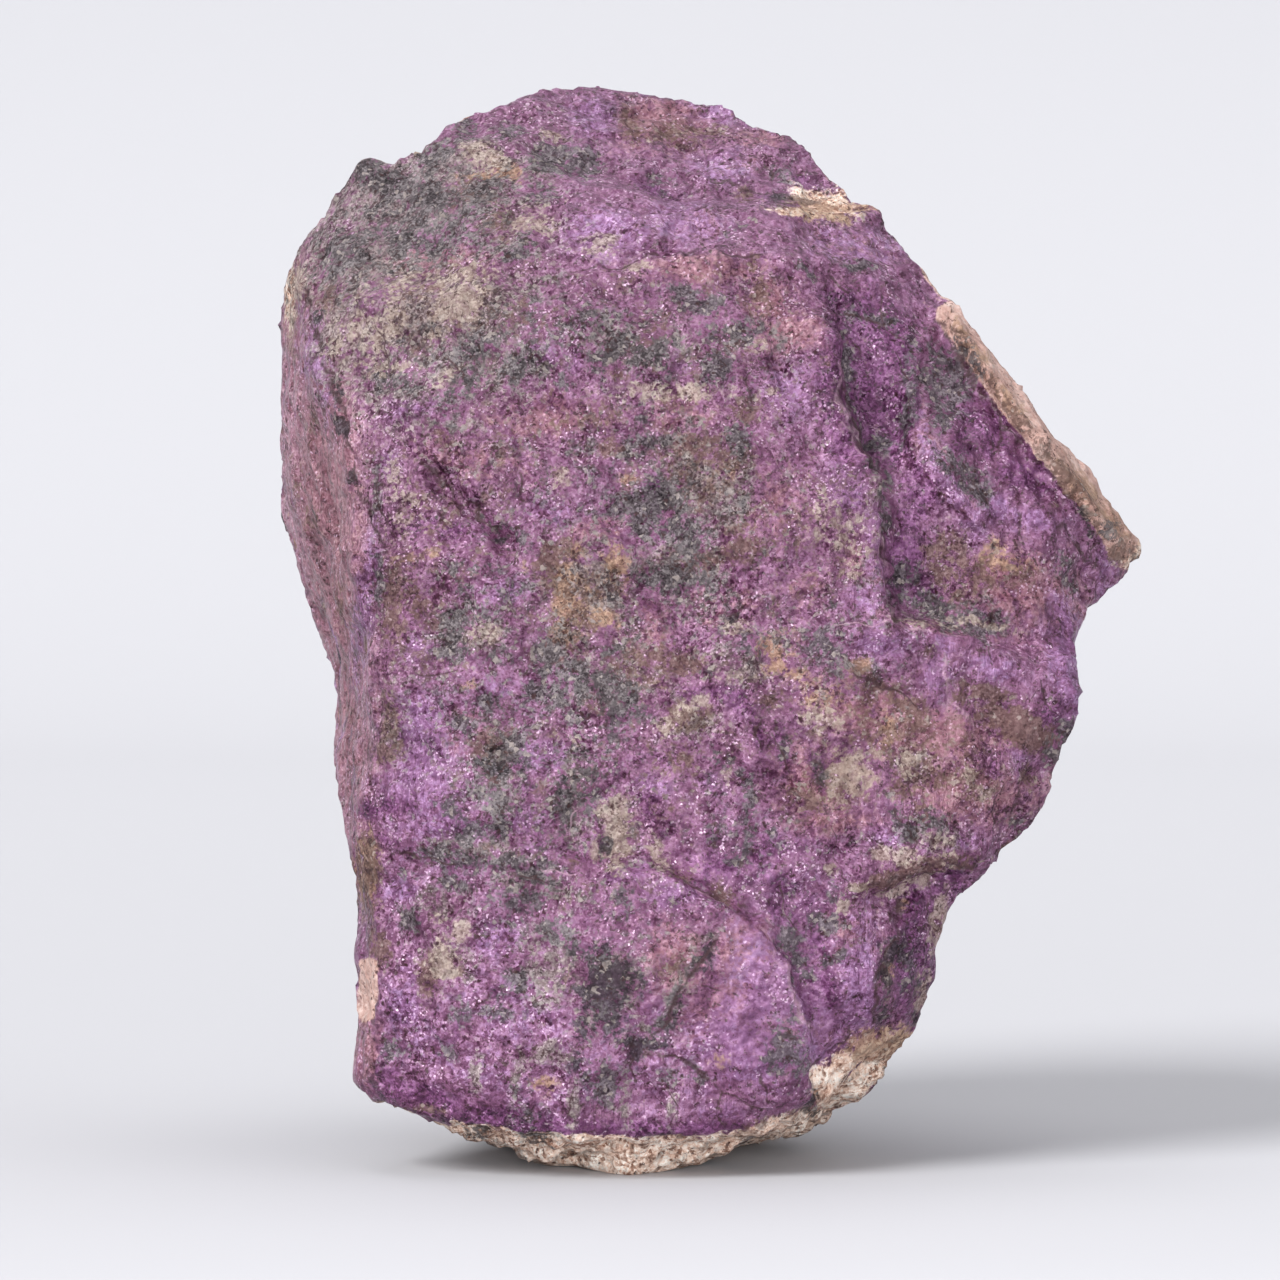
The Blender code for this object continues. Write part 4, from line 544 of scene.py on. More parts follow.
# Dark end, middle and light end of each mineral's colour, as linear red, green and blue.
MINERALS = {
    "purple": [(0.042, 0.008, 0.026), (0.145, 0.054, 0.112), (0.273, 0.138, 0.243)],
    "lilac": [(0.062, 0.016, 0.050), (0.182, 0.076, 0.174), (0.335, 0.196, 0.368)],
    "plum": [(0.024, 0.004, 0.019), (0.094, 0.025, 0.077), (0.240, 0.095, 0.220)],
    # A lighter pink, which on the seen side is painted light on lit faces and edges.
    "blush_and_painted_light": [(0.160, 0.060, 0.080), (0.310, 0.160, 0.215), (0.450, 0.290, 0.350)],
    "rose": [(0.076, 0.019, 0.025), (0.199, 0.084, 0.108), (0.312, 0.172, 0.195)],
    "brown": [(0.026, 0.009, 0.007), (0.080, 0.042, 0.034), (0.149, 0.094, 0.076)],
    "ash": [(0.034, 0.019, 0.020), (0.145, 0.113, 0.109), (0.320, 0.275, 0.255)],
    "ochre": [(0.075, 0.032, 0.020), (0.215, 0.126, 0.083), (0.350, 0.225, 0.148)],
    "dust": [(0.070, 0.035, 0.030), (0.200, 0.148, 0.126), (0.350, 0.285, 0.245)],
    "grey": [(0.006, 0.003, 0.005), (0.048, 0.040, 0.045), (0.145, 0.128, 0.136)],
    "soot": [(0.003, 0.001, 0.002), (0.014, 0.010, 0.013), (0.070, 0.062, 0.070)],
    "crust": [(0.200, 0.085, 0.050), (0.600, 0.430, 0.345), (0.770, 0.725, 0.665)],
    "rind": [(0.144, 0.056, 0.034), (0.395, 0.252, 0.220), (0.562, 0.444, 0.410)],
}
SHINY_MINERALS = ("blush_and_painted_light", "lilac", "plum", "rose")

# How each patch shows: how far noise breaks it up, how soft its edge is, how much it covers.
# A patch further down covers those above it.
BREAKUP = {
    "blush_and_painted_light": (1.4, 0.35, 0.90),
    "rose": (1.8, 0.35, 0.85),
    "lilac": (1.8, 0.35, 0.85),
    "plum": (1.3, 0.25, 1.00),
    "crust": (0.9, 0.14, 1.00),
    "rind": (0.6, 0.16, 1.00),
    "ash": (2.0, 0.30, 0.85),
    "ochre": (2.0, 0.26, 0.85),
    "brown": (2.3, 0.26, 0.85),
    "grey": (2.4, 0.24, 0.88),
    "dust": (2.1, 0.24, 0.78),
    "soot": (2.2, 0.22, 0.88),
}
GRAIN_BREAKUP = 0.5
CRYSTAL_BREAKUP = 0.28
LEAST_RAGGED = 0.42

# Patches on the sides that the eye doesn't see: their size, and how rare they are.
UNSEEN_PATCHES = {
    "blush_and_painted_light": (6.0, 0.22),
    "rose": (6.0, 0.08),
    "lilac": (5.0, 0.04),
    "plum": (4.0, 0.20),
    "ash": (4.0, 0.36),
    "ochre": (2.2, 0.44),
    "brown": (3.0, 0.34),
    "grey": (3.2, 0.36),
    "dust": (2.6, 0.42),
    "soot": (2.6, 0.52),
}
UNSEEN_SHIFT = np.array([17.0, 5.0, 11.0])
UNSEEN_BROAD_SIZE = 2.5
UNSEEN_BROAD_SHARE = 0.5
UNSEEN_SHARPNESS = 2.2
UNSEEN_EDGE = 0.45

# Noises of the material: scale per millimetre, detail and roughness.
COARSE_NOISE = (0.45, 3.0, 0.65)
FINE_NOISE = (1.4, 3.0, 0.60)
GRAIN_NOISE = (4.2, 2.0, 0.70)
LUMP_NOISE = (1.0, 1.0, 0.50)
STREAK_NOISE = (3.2, 3.0, 0.70)
WARP_NOISE = (1.1, 3.0, 0.60)
WARP_REACH = 1.1

# Crystal faces: size, and how far they lean.
HUGE_CRYSTALS = (1.70, 0.18)
LARGE_CRYSTALS = (0.70, 0.22)
SMALL_CRYSTALS = (0.28, 0.20)
TINY_CRYSTALS = (0.13, 0.16)

# How much each size of pattern counts in the light and dark of the minerals.
MIDDLE_SHADE = 0.51
COARSE_SHADE = 1.15
FINE_SHADE = 0.65
GRAIN_SHADE = 0.38
TINY_SHADE = 0.65
SMALL_SHADE = 0.52
LARGE_SHADE = 0.18
HUGE_SHADE = 0.12
STREAK_SHADE = 0.8

# How lively the crystals are, from place to place, and where the stone is smooth.
LIVELY_NOISE = (0.30, 0.75)
LEAST_LIVELY = 0.6
LIVELIEST = 1.4
CALMEST = 0.40

# Cracks and pits, which are coloured dark as painted shade.
CRACK_NOISE = (0.36, 0.26)
CRACK_COVER = 0.8
PIT_SPACING = 0.60
PIT_SIZE = (0.30, 0.17)
PIT_CHANCE = (0.60, 0.75)
PIT_CELL_CHANCE = 0.7
PIT_COARSE_CHANCE = 2.4
PIT_COVER = 0.9

# Painted highlights on sparkling faces of the purple, pale flecks on dull patches, and dark specks on the
# crust.
PAINTED_GLINT_DRAW = (0.86, 0.96)
SPARKLING_NOISE = (0.45, 0.75)
SPARKLING_COARSE = 2.0
FLECK_DRAW = (0.78, 0.92)
FLECK_NOISE = (0.50, 0.62)
SPECK_DRAW = (0.26, 0.12)
SPECK_NOISE = (0.58, 0.46)
SPECK_CRUST = (0.4, 0.7)

# The drawn lines: how they wiggle, their soft edge in half widths, and how they break off.
DARK_CHANNELS = ("dark_a", "dark_b", "dark_c")
FINE_WIGGLE = 2.6
COARSE_WIGGLE = 2.0
LINE_EDGE = (1.1, 0.1)
BROKEN_COARSE = 1.5
BROKEN_NOISE = (0.20, 0.50)

# What is laid over the minerals: how much it covers, and its colour.
MARKS = {
    # Cracks and pits are coloured with painted shade.
    "painted_crevice_shade": (1.0, (0.028, 0.009, 0.010, 1.0)),
    # A pale colour painted on sparkling crystal faces: a painted highlight.
    "painted_glint": (0.5, (0.70, 0.50, 0.66, 1.0)),
    "fleck": (0.45, (0.38, 0.32, 0.29, 1.0)),
    "speck": (0.7, (0.16, 0.085, 0.060, 1.0)),
    # Pale lines are painted highlights along the crests of edges.
    "painted highlight line": (0.4, (0.42, 0.26, 0.33, 1.0)),
    # Dark lines are painted shade along cracks, seams and the foot of edges.
    "painted shade line": (0.85, (0.040, 0.016, 0.020, 1.0)),
}

SHEEN = 0.35
ROUGHNESS_OF_PURPLE = 0.42
ROUGHNESS_OF_DULL = 0.88
ROUGHNESS_OF_GRAIN = 0.8
ROUGHNESS_OF_PAINTED_GLINT = -0.2
METALLIC_OF_PURPLE = 0.18
LUMP_RELIEF = 0.56
STREAK_RELIEF = 0.40

FLOOR_COLOUR = (0.40, 0.40, 0.42, 1.0)
FLOOR_ROUGHNESS = 0.9
FLOOR_HALF_WIDTH = 2.5
FLOOR_FRONT = -1.5
WALL_DISTANCE = 1.2
WALL_BEND_RADIUS = 0.5
WALL_HEIGHT = 2.5
BEND_STEPS = 24

WORLD_COLOUR = (0.97, 0.97, 1.0, 1.0)
WORLD_STRENGTH = 0.60

# Broad, soft suns: where each shines from, its apparent size in degrees, and its strength.
SUNS = {
    "key": ((-0.65, -0.55, 0.75), 27.0, 3.8),
    "right": ((0.85, -0.45, 0.10), 40.0, 0.9),
    "top": ((0.15, 0.10, 1.0), 60.0, 0.9),
}

# A low card in front lights the underside, as the bright surroundings of the real stone do.
CARD_PLACE = Vector((0.0, -0.16, 0.006))
CARD_AIM = Vector((0.0, 0.0, 0.008))
CARD_WIDTH = 0.09
CARD_POWER = 0.30

# A lamp high above lights the wall behind: place and aim in metres, width, and power in watts.
WALL_LAMP_PLACE = Vector((0.0, 0.35, 1.3))
WALL_LAMP_AIM = Vector((0.0, 1.2, 0.15))
WALL_LAMP_WIDTH = 1.0
WALL_LAMP_POWER = 5.2

# The camera looks level, and its frame is shifted by so many of the photograph's pixels.
FOCAL_LENGTH = 117.56
SENSOR_WIDTH = 36.0
PHOTO_WIDTH = 1280.0
FRAME_SHIFT = -45.0
CLIP_START = 0.01
CLIP_END = 20.0


def eye_place():
    """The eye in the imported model's frame, in millimetres."""
    return np.array([-STONE_MIDDLE_ACROSS, -EYE_DISTANCE - STONE_MIDDLE_DEPTH, EYE_HEIGHT])


def seen_from_eye(places):
    """How far across and how far up each place appears on the middle plane."""
    from_eye = places - eye_place()
    spread = EYE_DISTANCE / from_eye[:, 1]
    across = from_eye[:, 0] * spread
    up = EYE_HEIGHT + from_eye[:, 2] * spread
    return across, up


def smooth_step(low, high, values):
    """A soft step from 0 at the first limit to 1 at the second, which may be the lower one."""
    share = np.clip((values - low) / (high - low), 0.0, 1.0)
    return share * share * (3.0 - 2.0 * share)


def welded_copy(node):
    """The node's surface with its split corners joined, in millimetres."""
    bm = bmesh.new()
    bm.from_mesh(node.data)
    bmesh.ops.scale(bm, vec=Vector((1.0, 1.0, 1.0)) * MILLIMETRES_PER_METRE, verts=bm.verts)
    bmesh.ops.remove_doubles(bm, verts=bm.verts, dist=WELD_DISTANCE)
    mesh = bpy.data.meshes.new("rough_stone")
    bm.to_mesh(mesh)
    bm.free()
    return mesh


def remeshed(mesh, voxel_size):
    """The same surface as an even, fine mesh."""
    holder = bpy.data.objects.new("rough_stone", mesh)
    bpy.context.scene.collection.objects.link(holder)
    remesh = holder.modifiers.new("even mesh", "REMESH")
    remesh.mode = "VOXEL"
    remesh.voxel_size = voxel_size
    graph = bpy.context.evaluated_depsgraph_get()
    fine = bpy.data.meshes.new_from_object(holder.evaluated_get(graph))
    bpy.data.objects.remove(holder)
    return fine


def places_of(mesh):
    places = np.zeros(len(mesh.vertices) * 3)
    mesh.vertices.foreach_get("co", places)
    return places.reshape(-1, 3)


def set_places(mesh, places):
    mesh.vertices.foreach_set("co", places.ravel())
    mesh.update()


def directions_of(mesh):
    """Outward direction at every vertex."""
    directions = np.zeros(len(mesh.vertices) * 3)
    mesh.vertex_normals.foreach_get("vector", directions)
    return directions.reshape(-1, 3)


def eased(mesh, places):
    """Round off the facets of the solid without shrinking it."""
    edges = np.zeros(len(mesh.edges) * 2, dtype=int)
    mesh.edges.foreach_get("vertices", edges)
    edges = edges.reshape(-1, 2)
    count = np.bincount(edges.ravel(), minlength=len(places))[:, None]
    starts = np.concatenate([edges[:, 0], edges[:, 1]])
    for _ in range(EASING_ROUNDS):
        for share in (EASING_PUSH, EASING_PULL):
            total = np.zeros_like(places)
            for axis in range(3):
                ends = np.concatenate([places[edges[:, 1], axis], places[edges[:, 0], axis]])
                total[:, axis] = np.bincount(starts, weights=ends, minlength=len(places))
            places = places + share * (total / count - places)
    return places


def patch_field(patches, across, up):
    """Strength of the strongest patch at each point. A turn that is left out is zero."""
    field = np.zeros(len(across))
    for middle_across, middle_up, half_length, half_width, strength, *turn in patches:
        angle = math.radians(sum(turn))
        cosine = math.cos(angle)
        sine = math.sin(angle)
        beside = across - middle_across
        above = up - middle_up
        along = (beside * cosine + above * sine) / half_length
        aside = (above * cosine - beside * sine) / half_width
        value = strength * np.exp(-PATCH_FALL * (along * along + aside * aside))
        field = np.maximum(field, value)
    return field


def line_distance(line, across, up):
    """Signed distance to a line, and how far past its ends each point lies."""
    best = np.full(len(across), np.inf)
    signed = np.zeros(len(across))
    beyond = np.zeros(len(across))
    last = len(line) - 2
    for number, (start, end) in enumerate(zip(line, line[1:])):
        run = math.hypot(end[0] - start[0], end[1] - start[1])
        along_across = (end[0] - start[0]) / run
        along_up = (end[1] - start[1]) / run
        beside = across - start[0]
        above = up - start[1]
        along = beside * along_across + above * along_up
        aside = above * along_across - beside * along_up
        past = np.maximum(-along, along - run)
        distance = np.hypot(aside, np.maximum(past, 0.0))
        nearer = distance < best
        best = np.where(nearer, distance, best)
        signed = np.where(nearer, np.copysign(distance, aside), signed)
        before_first = -along if number == 0 else np.zeros(len(across))
        after_last = along - run if number == last else np.zeros(len(across))
        outside = np.maximum(np.maximum(before_first, after_last), 0.0)
        beyond = np.where(nearer, outside, beyond)
    return signed, beyond


def within_ends(beyond):
    """One along a line, and fading to zero past its ends."""
    return 1.0 - smooth_step(0.0, LINE_END_FADE, beyond)


def line_fields(lines, surface):
    """Distance to the nearest line in half widths, and where a line may be drawn at all."""
    nearest = np.full(len(surface.across), np.inf)
    offset = np.full(len(surface.across), LINE_REACH)
    shown = np.zeros(len(surface.across))
    for half_width, line in lines:
        signed, beyond = line_distance(line, surface.line_across, surface.line_up)
        distance = np.abs(signed)
        nearer = distance < nearest
        nearest = np.where(nearer, distance, nearest)
        offset = np.where(nearer, signed / half_width, offset)
        reach = (1.0 - smooth_step(LINE_FULL_REACH, LINE_REACH, distance)) * within_ends(beyond)
        shown = np.where(nearer, reach * surface.front, shown)
    return offset, shown


def groove_depth(surface):
    """How deep the dark lines are cut."""
    depth = np.zeros(len(surface.across))
    for half_width, full_depth, line in DARK_LINES:
        signed, beyond = line_distance(line, surface.line_across, surface.line_up)
        width = max(half_width, NARROWEST_GROOVE)
        cut = GROOVE_SHARE * full_depth * np.exp(-(signed / width) ** 2) * within_ends(beyond)
        depth = np.maximum(depth, cut * surface.front)
    return depth


def ledge_height(surface):
    """How far the raised sides of the ledges stand out."""
    height = np.zeros(len(surface.across))
    for full_height, fall, line in LEDGES:
        signed, beyond = line_distance(line, surface.line_across, surface.line_up)
        rise = smooth_step(-LEDGE_HALF_WIDTH, LEDGE_HALF_WIDTH, signed)
        rise = rise * np.exp(-np.maximum(signed, 0.0) / fall) * np.exp(-beyond / LEDGE_END_FADE)
        height += full_height * rise * surface.front
    return height


def knob_height(surface):
    """How far the knobs stand out, and the hollows lie back."""
    height = np.zeros(len(surface.across))
    for middle_across, middle_up, radius, full_height in KNOBS:
        away = np.hypot(surface.across - middle_across, surface.up - middle_up) / radius
        height += full_height * np.exp(-away * away)
    return height


def noise_field(places, size, stretch=None):
    """Smooth noise at every place."""
    scaled = places / size
    if stretch is not None:
        scaled = scaled * np.array(stretch)
    return np.array([noise.noise(Vector(place)) for place in scaled])


def chip_field(places, size):
    """Flat chips that tilt at random, with small steps where they meet."""
    heights = np.zeros(len(places))
    stretched = places * np.array(CHIP_STRETCH)
    for number, place in enumerate(stretched):
        here = Vector(place)
        warped = (here + noise.noise_vector(here / CHIP_WARP_SIZE) * CHIP_WARP) / size
        middle = noise.voronoi(warped)[1][0]
        tilt = noise.cell_vector(middle * CHIP_TILT_DRAW) - Vector(MIDDLE_OF_THREE)
        step = noise.cell(middle * CHIP_STEP_DRAW) - MIDDLE
        heights[number] = (warped - middle).dot(tilt) * CHIP_TILT + step * CHIP_STEP
    return heights


def crust_field(surface):
    """Where the pale crust covers the stone, seen or unseen."""
    field = patch_field(PATCHES["crust"], surface.across, surface.up)
    edge_up = np.interp(surface.across, *zip(*BOTTOM_EDGE))
    below = MIDDLE + (edge_up - surface.up) / BOTTOM_EDGE_SOFTNESS
    left_end, right_end = BOTTOM_EDGE_SPAN
    under_edge = np.clip(below, 0.0, FULLEST_CRUST)
    under_edge = under_edge * (surface.across > left_end) * (surface.across < right_end)
    field = np.maximum(field, under_edge) * surface.front
    wander = UNDERSIDE_WANDER * noise_field(surface.places, WANDER_SIZE)
    underside = smooth_step(*UNDERSIDE_SLOPE, surface.directions[:, 2])
    underside = underside * smooth_step(*UNDERSIDE_HEIGHT, surface.places[:, 2] + wander)
    return np.maximum(field, underside * (1.0 - surface.front))


def rind_field(surface):
    """Where the pinkish rind covers the stone, seen or unseen."""
    field = np.zeros(len(surface.across))
    for half_width, line in RIND_BANDS:
        signed, beyond = line_distance(line, surface.across, surface.up)
        band = RIND_STRENGTH - RIND_FALL * (np.abs(signed) / half_width) ** 2 - beyond
        field = np.maximum(field, np.clip(band, 0.0, FULLEST_RIND))
    wander = noise_field(surface.places, WANDER_SIZE)
    slope = surface.directions[:, 0] + UNSEEN_RIND_SHARE_OF_UP * surface.directions[:, 2]
    height = surface.places[:, 2] + UNSEEN_RIND_HEIGHT_WANDER * wander
    across = surface.places[:, 0] + UNSEEN_RIND_ACROSS_WANDER * wander
    unseen = smooth_step(*UNSEEN_RIND_SLOPE, slope)
    unseen = unseen * smooth_step(*UNSEEN_RIND_HEIGHT, height)
    unseen = unseen * smooth_step(*UNSEEN_RIND_ACROSS, across)
    return np.maximum(field * surface.front, unseen * (1.0 - surface.front))


def unseen_patches(name, places, number):
    """Patches on the sides that the eye doesn't see, from smooth noise."""
    size, rarity = UNSEEN_PATCHES[name]
    shifted = places + UNSEEN_SHIFT * number
    broad = UNSEEN_BROAD_SHARE * noise_field(shifted, UNSEEN_BROAD_SIZE * size)
    value = noise_field(shifted, size) + broad
    return np.clip((value - rarity) * UNSEEN_SHARPNESS + UNSEEN_EDGE, 0.0, 1.0)


def surface_of(mesh, places):
    """What the relief and the patches need to know about every vertex."""
    directions = directions_of(mesh)
    across, up = seen_from_eye(places)
    to_eye = eye_place() - places
    to_eye = to_eye / np.linalg.norm(to_eye, axis=1)[:, None]
    facing = np.einsum("ij,ij->i", directions, to_eye)
    return SimpleNamespace(
        places=places,
        directions=directions,
        across=across,
        up=up,
        line_across=across + LINE_WANDER * noise_field(places, LINE_WANDER_SIZE),
        line_up=up + LINE_WANDER * noise_field(places[:, ::-1], LINE_WANDER_SIZE),
        front=smooth_step(*SEEN_FACING, facing),
        near_outline=smooth_step(*OUTLINE_FACING, np.abs(facing)),
    )


def relief_height(surface, crust, smooth, streak):
    """How far every vertex moves outwards."""
    places = surface.places
    edge_guard = 1.0 - CHIPS_LOST_AT_OUTLINE * surface.near_outline
    height = WAVE_HEIGHT * noise_field(places, WAVE_SIZE)
    for size, full_height in CHIP_SIZES_AND_HEIGHTS:
        chips = full_height * chip_field(places, size)
        height += chips * (1.0 - CHIPS_LOST_WHERE_SMOOTH * smooth) * edge_guard
    height += GRAIN_HEIGHT * noise_field(places, GRAIN_SIZE) * (1.0 - GRAIN_LOST_WHERE_SMOOTH * smooth)
    height += STREAK_HEIGHT * streak * noise_field(places, STREAK_SIZE, STREAK_STRETCH)
    low_down = smooth_step(*LUMPY_CRUST_BELOW, surface.up)
    lumpy = crust * (SMOOTHEST_CRUST + (1.0 - SMOOTHEST_CRUST) * low_down)
    height += lumpy * CRUST_LUMP_HEIGHT * noise_field(places, CRUST_LUMP_SIZE)
    height += lumpy * CRUST_GRAIN_HEIGHT * noise_field(places, CRUST_GRAIN_SIZE)
    height += ledge_height(surface) + knob_height(surface)
    height -= groove_depth(surface)
    on_rest = smooth_step(*RESTING_HEIGHT, places[:, 2])
    on_rest = on_rest * smooth_step(*RESTING_SLOPE, surface.directions[:, 2])
    return height * (1.0 - on_rest)


def add_attribute(mesh, name, values):
    attribute = mesh.attributes.new(name, "FLOAT", "POINT")
    attribute.data.foreach_set("value", values.astype(np.float32))


def add_patches(mesh, surface):
    """Where each mineral lies, as far as patches or noise say so."""
    for number, name in enumerate(BREAKUP):
        if name in UNSEEN_PATCHES:
            seen = patch_field(PATCHES[name], surface.across, surface.up)
            unseen = unseen_patches(name, surface.places, number)
            add_attribute(mesh, name, seen * surface.front + unseen * (1.0 - surface.front))


def add_lines(mesh, surface):
    """Dark lines take turns with the channels, so that neighbours may cross and both show."""
    channels = {"pale": PAINTED_HIGHLIGHT_LINES}
    for number, name in enumerate(DARK_CHANNELS):
        share = DARK_LINES[number::len(DARK_CHANNELS)]
        channels[name] = [(half_width, line) for half_width, _, line in share]
    for name, lines in channels.items():
        offset, shown = line_fields(lines, surface)
        add_attribute(mesh, name + "_offset", offset)
        add_attribute(mesh, name + "_shown", shown)


def build_stone_mesh(node):
    """The stone's visible surface, with what its material needs to know at each point."""
    voxel_size = VOXEL_SIZE
    mesh = remeshed(welded_copy(node), voxel_size)
    places = eased(mesh, places_of(mesh))
    set_places(mesh, places)
    surface = surface_of(mesh, places)
    crust = crust_field(surface)
    smooth = patch_field(PATCHES["smooth"], surface.across, surface.up) * surface.front
    streak = patch_field(PATCHES["streak"], surface.across, surface.up) * surface.front
    height = relief_height(surface, crust, smooth, streak)
    surface.places = places + surface.directions * height[:, None]
    surface.places[:, 2] = np.maximum(surface.places[:, 2], 0.0)
    set_places(mesh, surface.places * METRES_PER_MILLIMETRE)
    add_attribute(mesh, "crust", crust)
    add_attribute(mesh, "rind", rind_field(surface))
    add_attribute(mesh, "streak", streak)
    add_attribute(mesh, "smooth", smooth)
    add_patches(mesh, surface)
    add_lines(mesh, surface)
    return mesh


class Graph:
    """Short calls for building a node tree."""

    def __init__(self, material):
        material.use_nodes = True
        self.nodes = material.node_tree.nodes
        self.links = material.node_tree.links

    def add(self, kind, **settings):
        node = self.nodes.new(kind)
        for name, value in settings.items():
            setattr(node, name, value)
        return node

    def feed(self, socket, value):
        if isinstance(value, bpy.types.NodeSocket):
            self.links.new(value, socket)
        else:
            socket.default_value = value

    def math(self, operation, first, second=0.0, third=0.0, clamp=False):
        node = self.add("ShaderNodeMath", operation=operation, use_clamp=clamp)
        for socket, value in zip(node.inputs, (first, second, third)):
            self.feed(socket, value)
        return node.outputs[0]

    def product(self, first, *others):
        for other in others:
            first = self.math("MULTIPLY", first, other)
        return first

    def sum_of(self, terms, start=0.0):
        """Add up pairs of value and weight, with every value measured from its middle."""
        for value, weight in terms:
            start = self.math("MULTIPLY_ADD", self.math("SUBTRACT", value, MIDDLE), weight, start)
        return start

    def vector(self, operation, first, second=(0.0, 0.0, 0.0)):
        node = self.add("ShaderNodeVectorMath", operation=operation)
        self.feed(node.inputs[0], first)
        self.feed(node.inputs[1], second)
        return node.outputs["Vector"]

    def scaled(self, vector, factor):
        node = self.add("ShaderNodeVectorMath", operation="SCALE")
        self.feed(node.inputs[0], vector)
        self.feed(node.inputs["Scale"], factor)
        return node.outputs["Vector"]

    def attribute(self, name):
        return self.add("ShaderNodeAttribute", attribute_name=name).outputs["Fac"]

    def noise(self, vector, settings):
        node = self.add("ShaderNodeTexNoise")
        self.feed(node.inputs["Vector"], vector)
        for name, value in zip(("Scale", "Detail", "Roughness"), settings):
            self.feed(node.inputs[name], value)
        return node

    def cells(self, vector, size):
        node = self.add("ShaderNodeTexVoronoi", feature="F1")
        self.feed(node.inputs["Vector"], vector)
        self.feed(node.inputs["Scale"], 1.0 / size)
        return node

    def step(self, value, low, high):
        node = self.add("ShaderNodeMapRange", interpolation_type="SMOOTHSTEP")
        self.feed(node.inputs["Value"], value)
        self.feed(node.inputs["From Min"], low)
        self.feed(node.inputs["From Max"], high)
        return node.outputs["Result"]

    def mix(self, factor, first, second):
        """Mix two colours. The node's colour sockets are its inputs 6 and 7 and its output 2."""
        node = self.add("ShaderNodeMix", data_type="RGBA")
        self.feed(node.inputs["Factor"], factor)
        self.feed(node.inputs[6], first)
        self.feed(node.inputs[7], second)
        return node.outputs[2]

    def ramp(self, factor, colours):
        node = self.add("ShaderNodeValToRGB")
        self.feed(node.inputs["Fac"], factor)
        elements = node.color_ramp.elements
        while len(elements) < len(colours):
            elements.new(MIDDLE)
        for number, colour in enumerate(colours):
            elements[number].position = number / (len(colours) - 1)
            elements[number].color = (*colour, 1.0)
        return node.outputs["Color"]

    def parts_of(self, colour):
        """Red, green and blue of a colour, which serve as three separate noises."""
        split = self.add("ShaderNodeSeparateColor")
        self.feed(split.inputs["Color"], colour)
        return [split.outputs[part] for part in ("Red", "Green", "Blue")]


def crystals(graph, place, size, tilt):
    """Small flat crystal faces: how far each leans, up to the tilt, and a random number for each."""
    colour = graph.cells(place, size).outputs["Color"]
    lean = graph.vector("SUBTRACT", colour, MIDDLE_OF_THREE)
    return SimpleNamespace(lean=graph.scaled(lean, tilt / MIDDLE), number=graph.parts_of(colour)[0])


def make_textures(graph):
    """The noises and crystals that the parts of the material share."""
    place = graph.scaled(graph.add("ShaderNodeTexCoord").outputs["Object"], MILLIMETRES_PER_METRE)
    warp = graph.vector("SUBTRACT", graph.noise(place, WARP_NOISE).outputs["Color"], MIDDLE_OF_THREE)
    warped = graph.vector("ADD", place, graph.scaled(warp, WARP_REACH))
    return SimpleNamespace(
        place=place,
        warped=warped,
        coarse=graph.parts_of(graph.noise(place, COARSE_NOISE).outputs["Color"]),
        fine=graph.parts_of(graph.noise(place, FINE_NOISE).outputs["Color"]),
        grain=graph.parts_of(graph.noise(place, GRAIN_NOISE).outputs["Color"]),
        lumps=graph.noise(place, LUMP_NOISE).outputs["Fac"],
        huge=crystals(graph, warped, *HUGE_CRYSTALS),
        large=crystals(graph, warped, *LARGE_CRYSTALS),
        small=crystals(graph, place, *SMALL_CRYSTALS),
        tiny=crystals(graph, place, *TINY_CRYSTALS),
    )


def how_busy(graph):
    """One on broken ground, and less where the stone is smooth or covered by rind."""
    still = graph.math("MAXIMUM", graph.attribute("smooth"), graph.attribute("rind"))
    return graph.math("MULTIPLY_ADD", still, CALMEST - 1.0, 1.0, clamp=True)


def how_lively(graph, textures, busy):
    """How strongly the crystals show at each place."""
    lively = graph.step(textures.coarse[0], *LIVELY_NOISE)
    lively = graph.math("MULTIPLY_ADD", lively, LIVELIEST - LEAST_LIVELY, LEAST_LIVELY)
    return graph.math("MULTIPLY", lively, busy)


def streaks_of(graph, textures):
    """Upright fibres, where the stone has them."""
    stretched = graph.vector("MULTIPLY", textures.place, STREAK_STRETCH)
    fibres = graph.noise(stretched, STREAK_NOISE).outputs["Fac"]
    return graph.math("MULTIPLY", graph.math("SUBTRACT", fibres, MIDDLE), graph.attribute("streak"))


def shade_of(graph, textures, lively, streaks):
    """Light and dark of the minerals, from 0 to 1."""
    shade = graph.sum_of([
        (textures.grain[0], GRAIN_SHADE),
        (textures.fine[0], FINE_SHADE),
        (textures.tiny.number, TINY_SHADE),
        (textures.small.number, SMALL_SHADE),
        (textures.large.number, LARGE_SHADE),
        (textures.huge.number, HUGE_SHADE),
    ])
    shade = graph.math("MULTIPLY", shade, lively)
    shade = graph.math("MULTIPLY_ADD", streaks, STREAK_SHADE, shade)
    shade = graph.math("ADD", shade, MIDDLE_SHADE)
    return graph.sum_of([(textures.coarse[1], COARSE_SHADE)], shade)


def one_of(parts, number):
    """A noise has three parts, and patches take turns with them, so that their edges differ."""
    return parts[number % len(parts)]


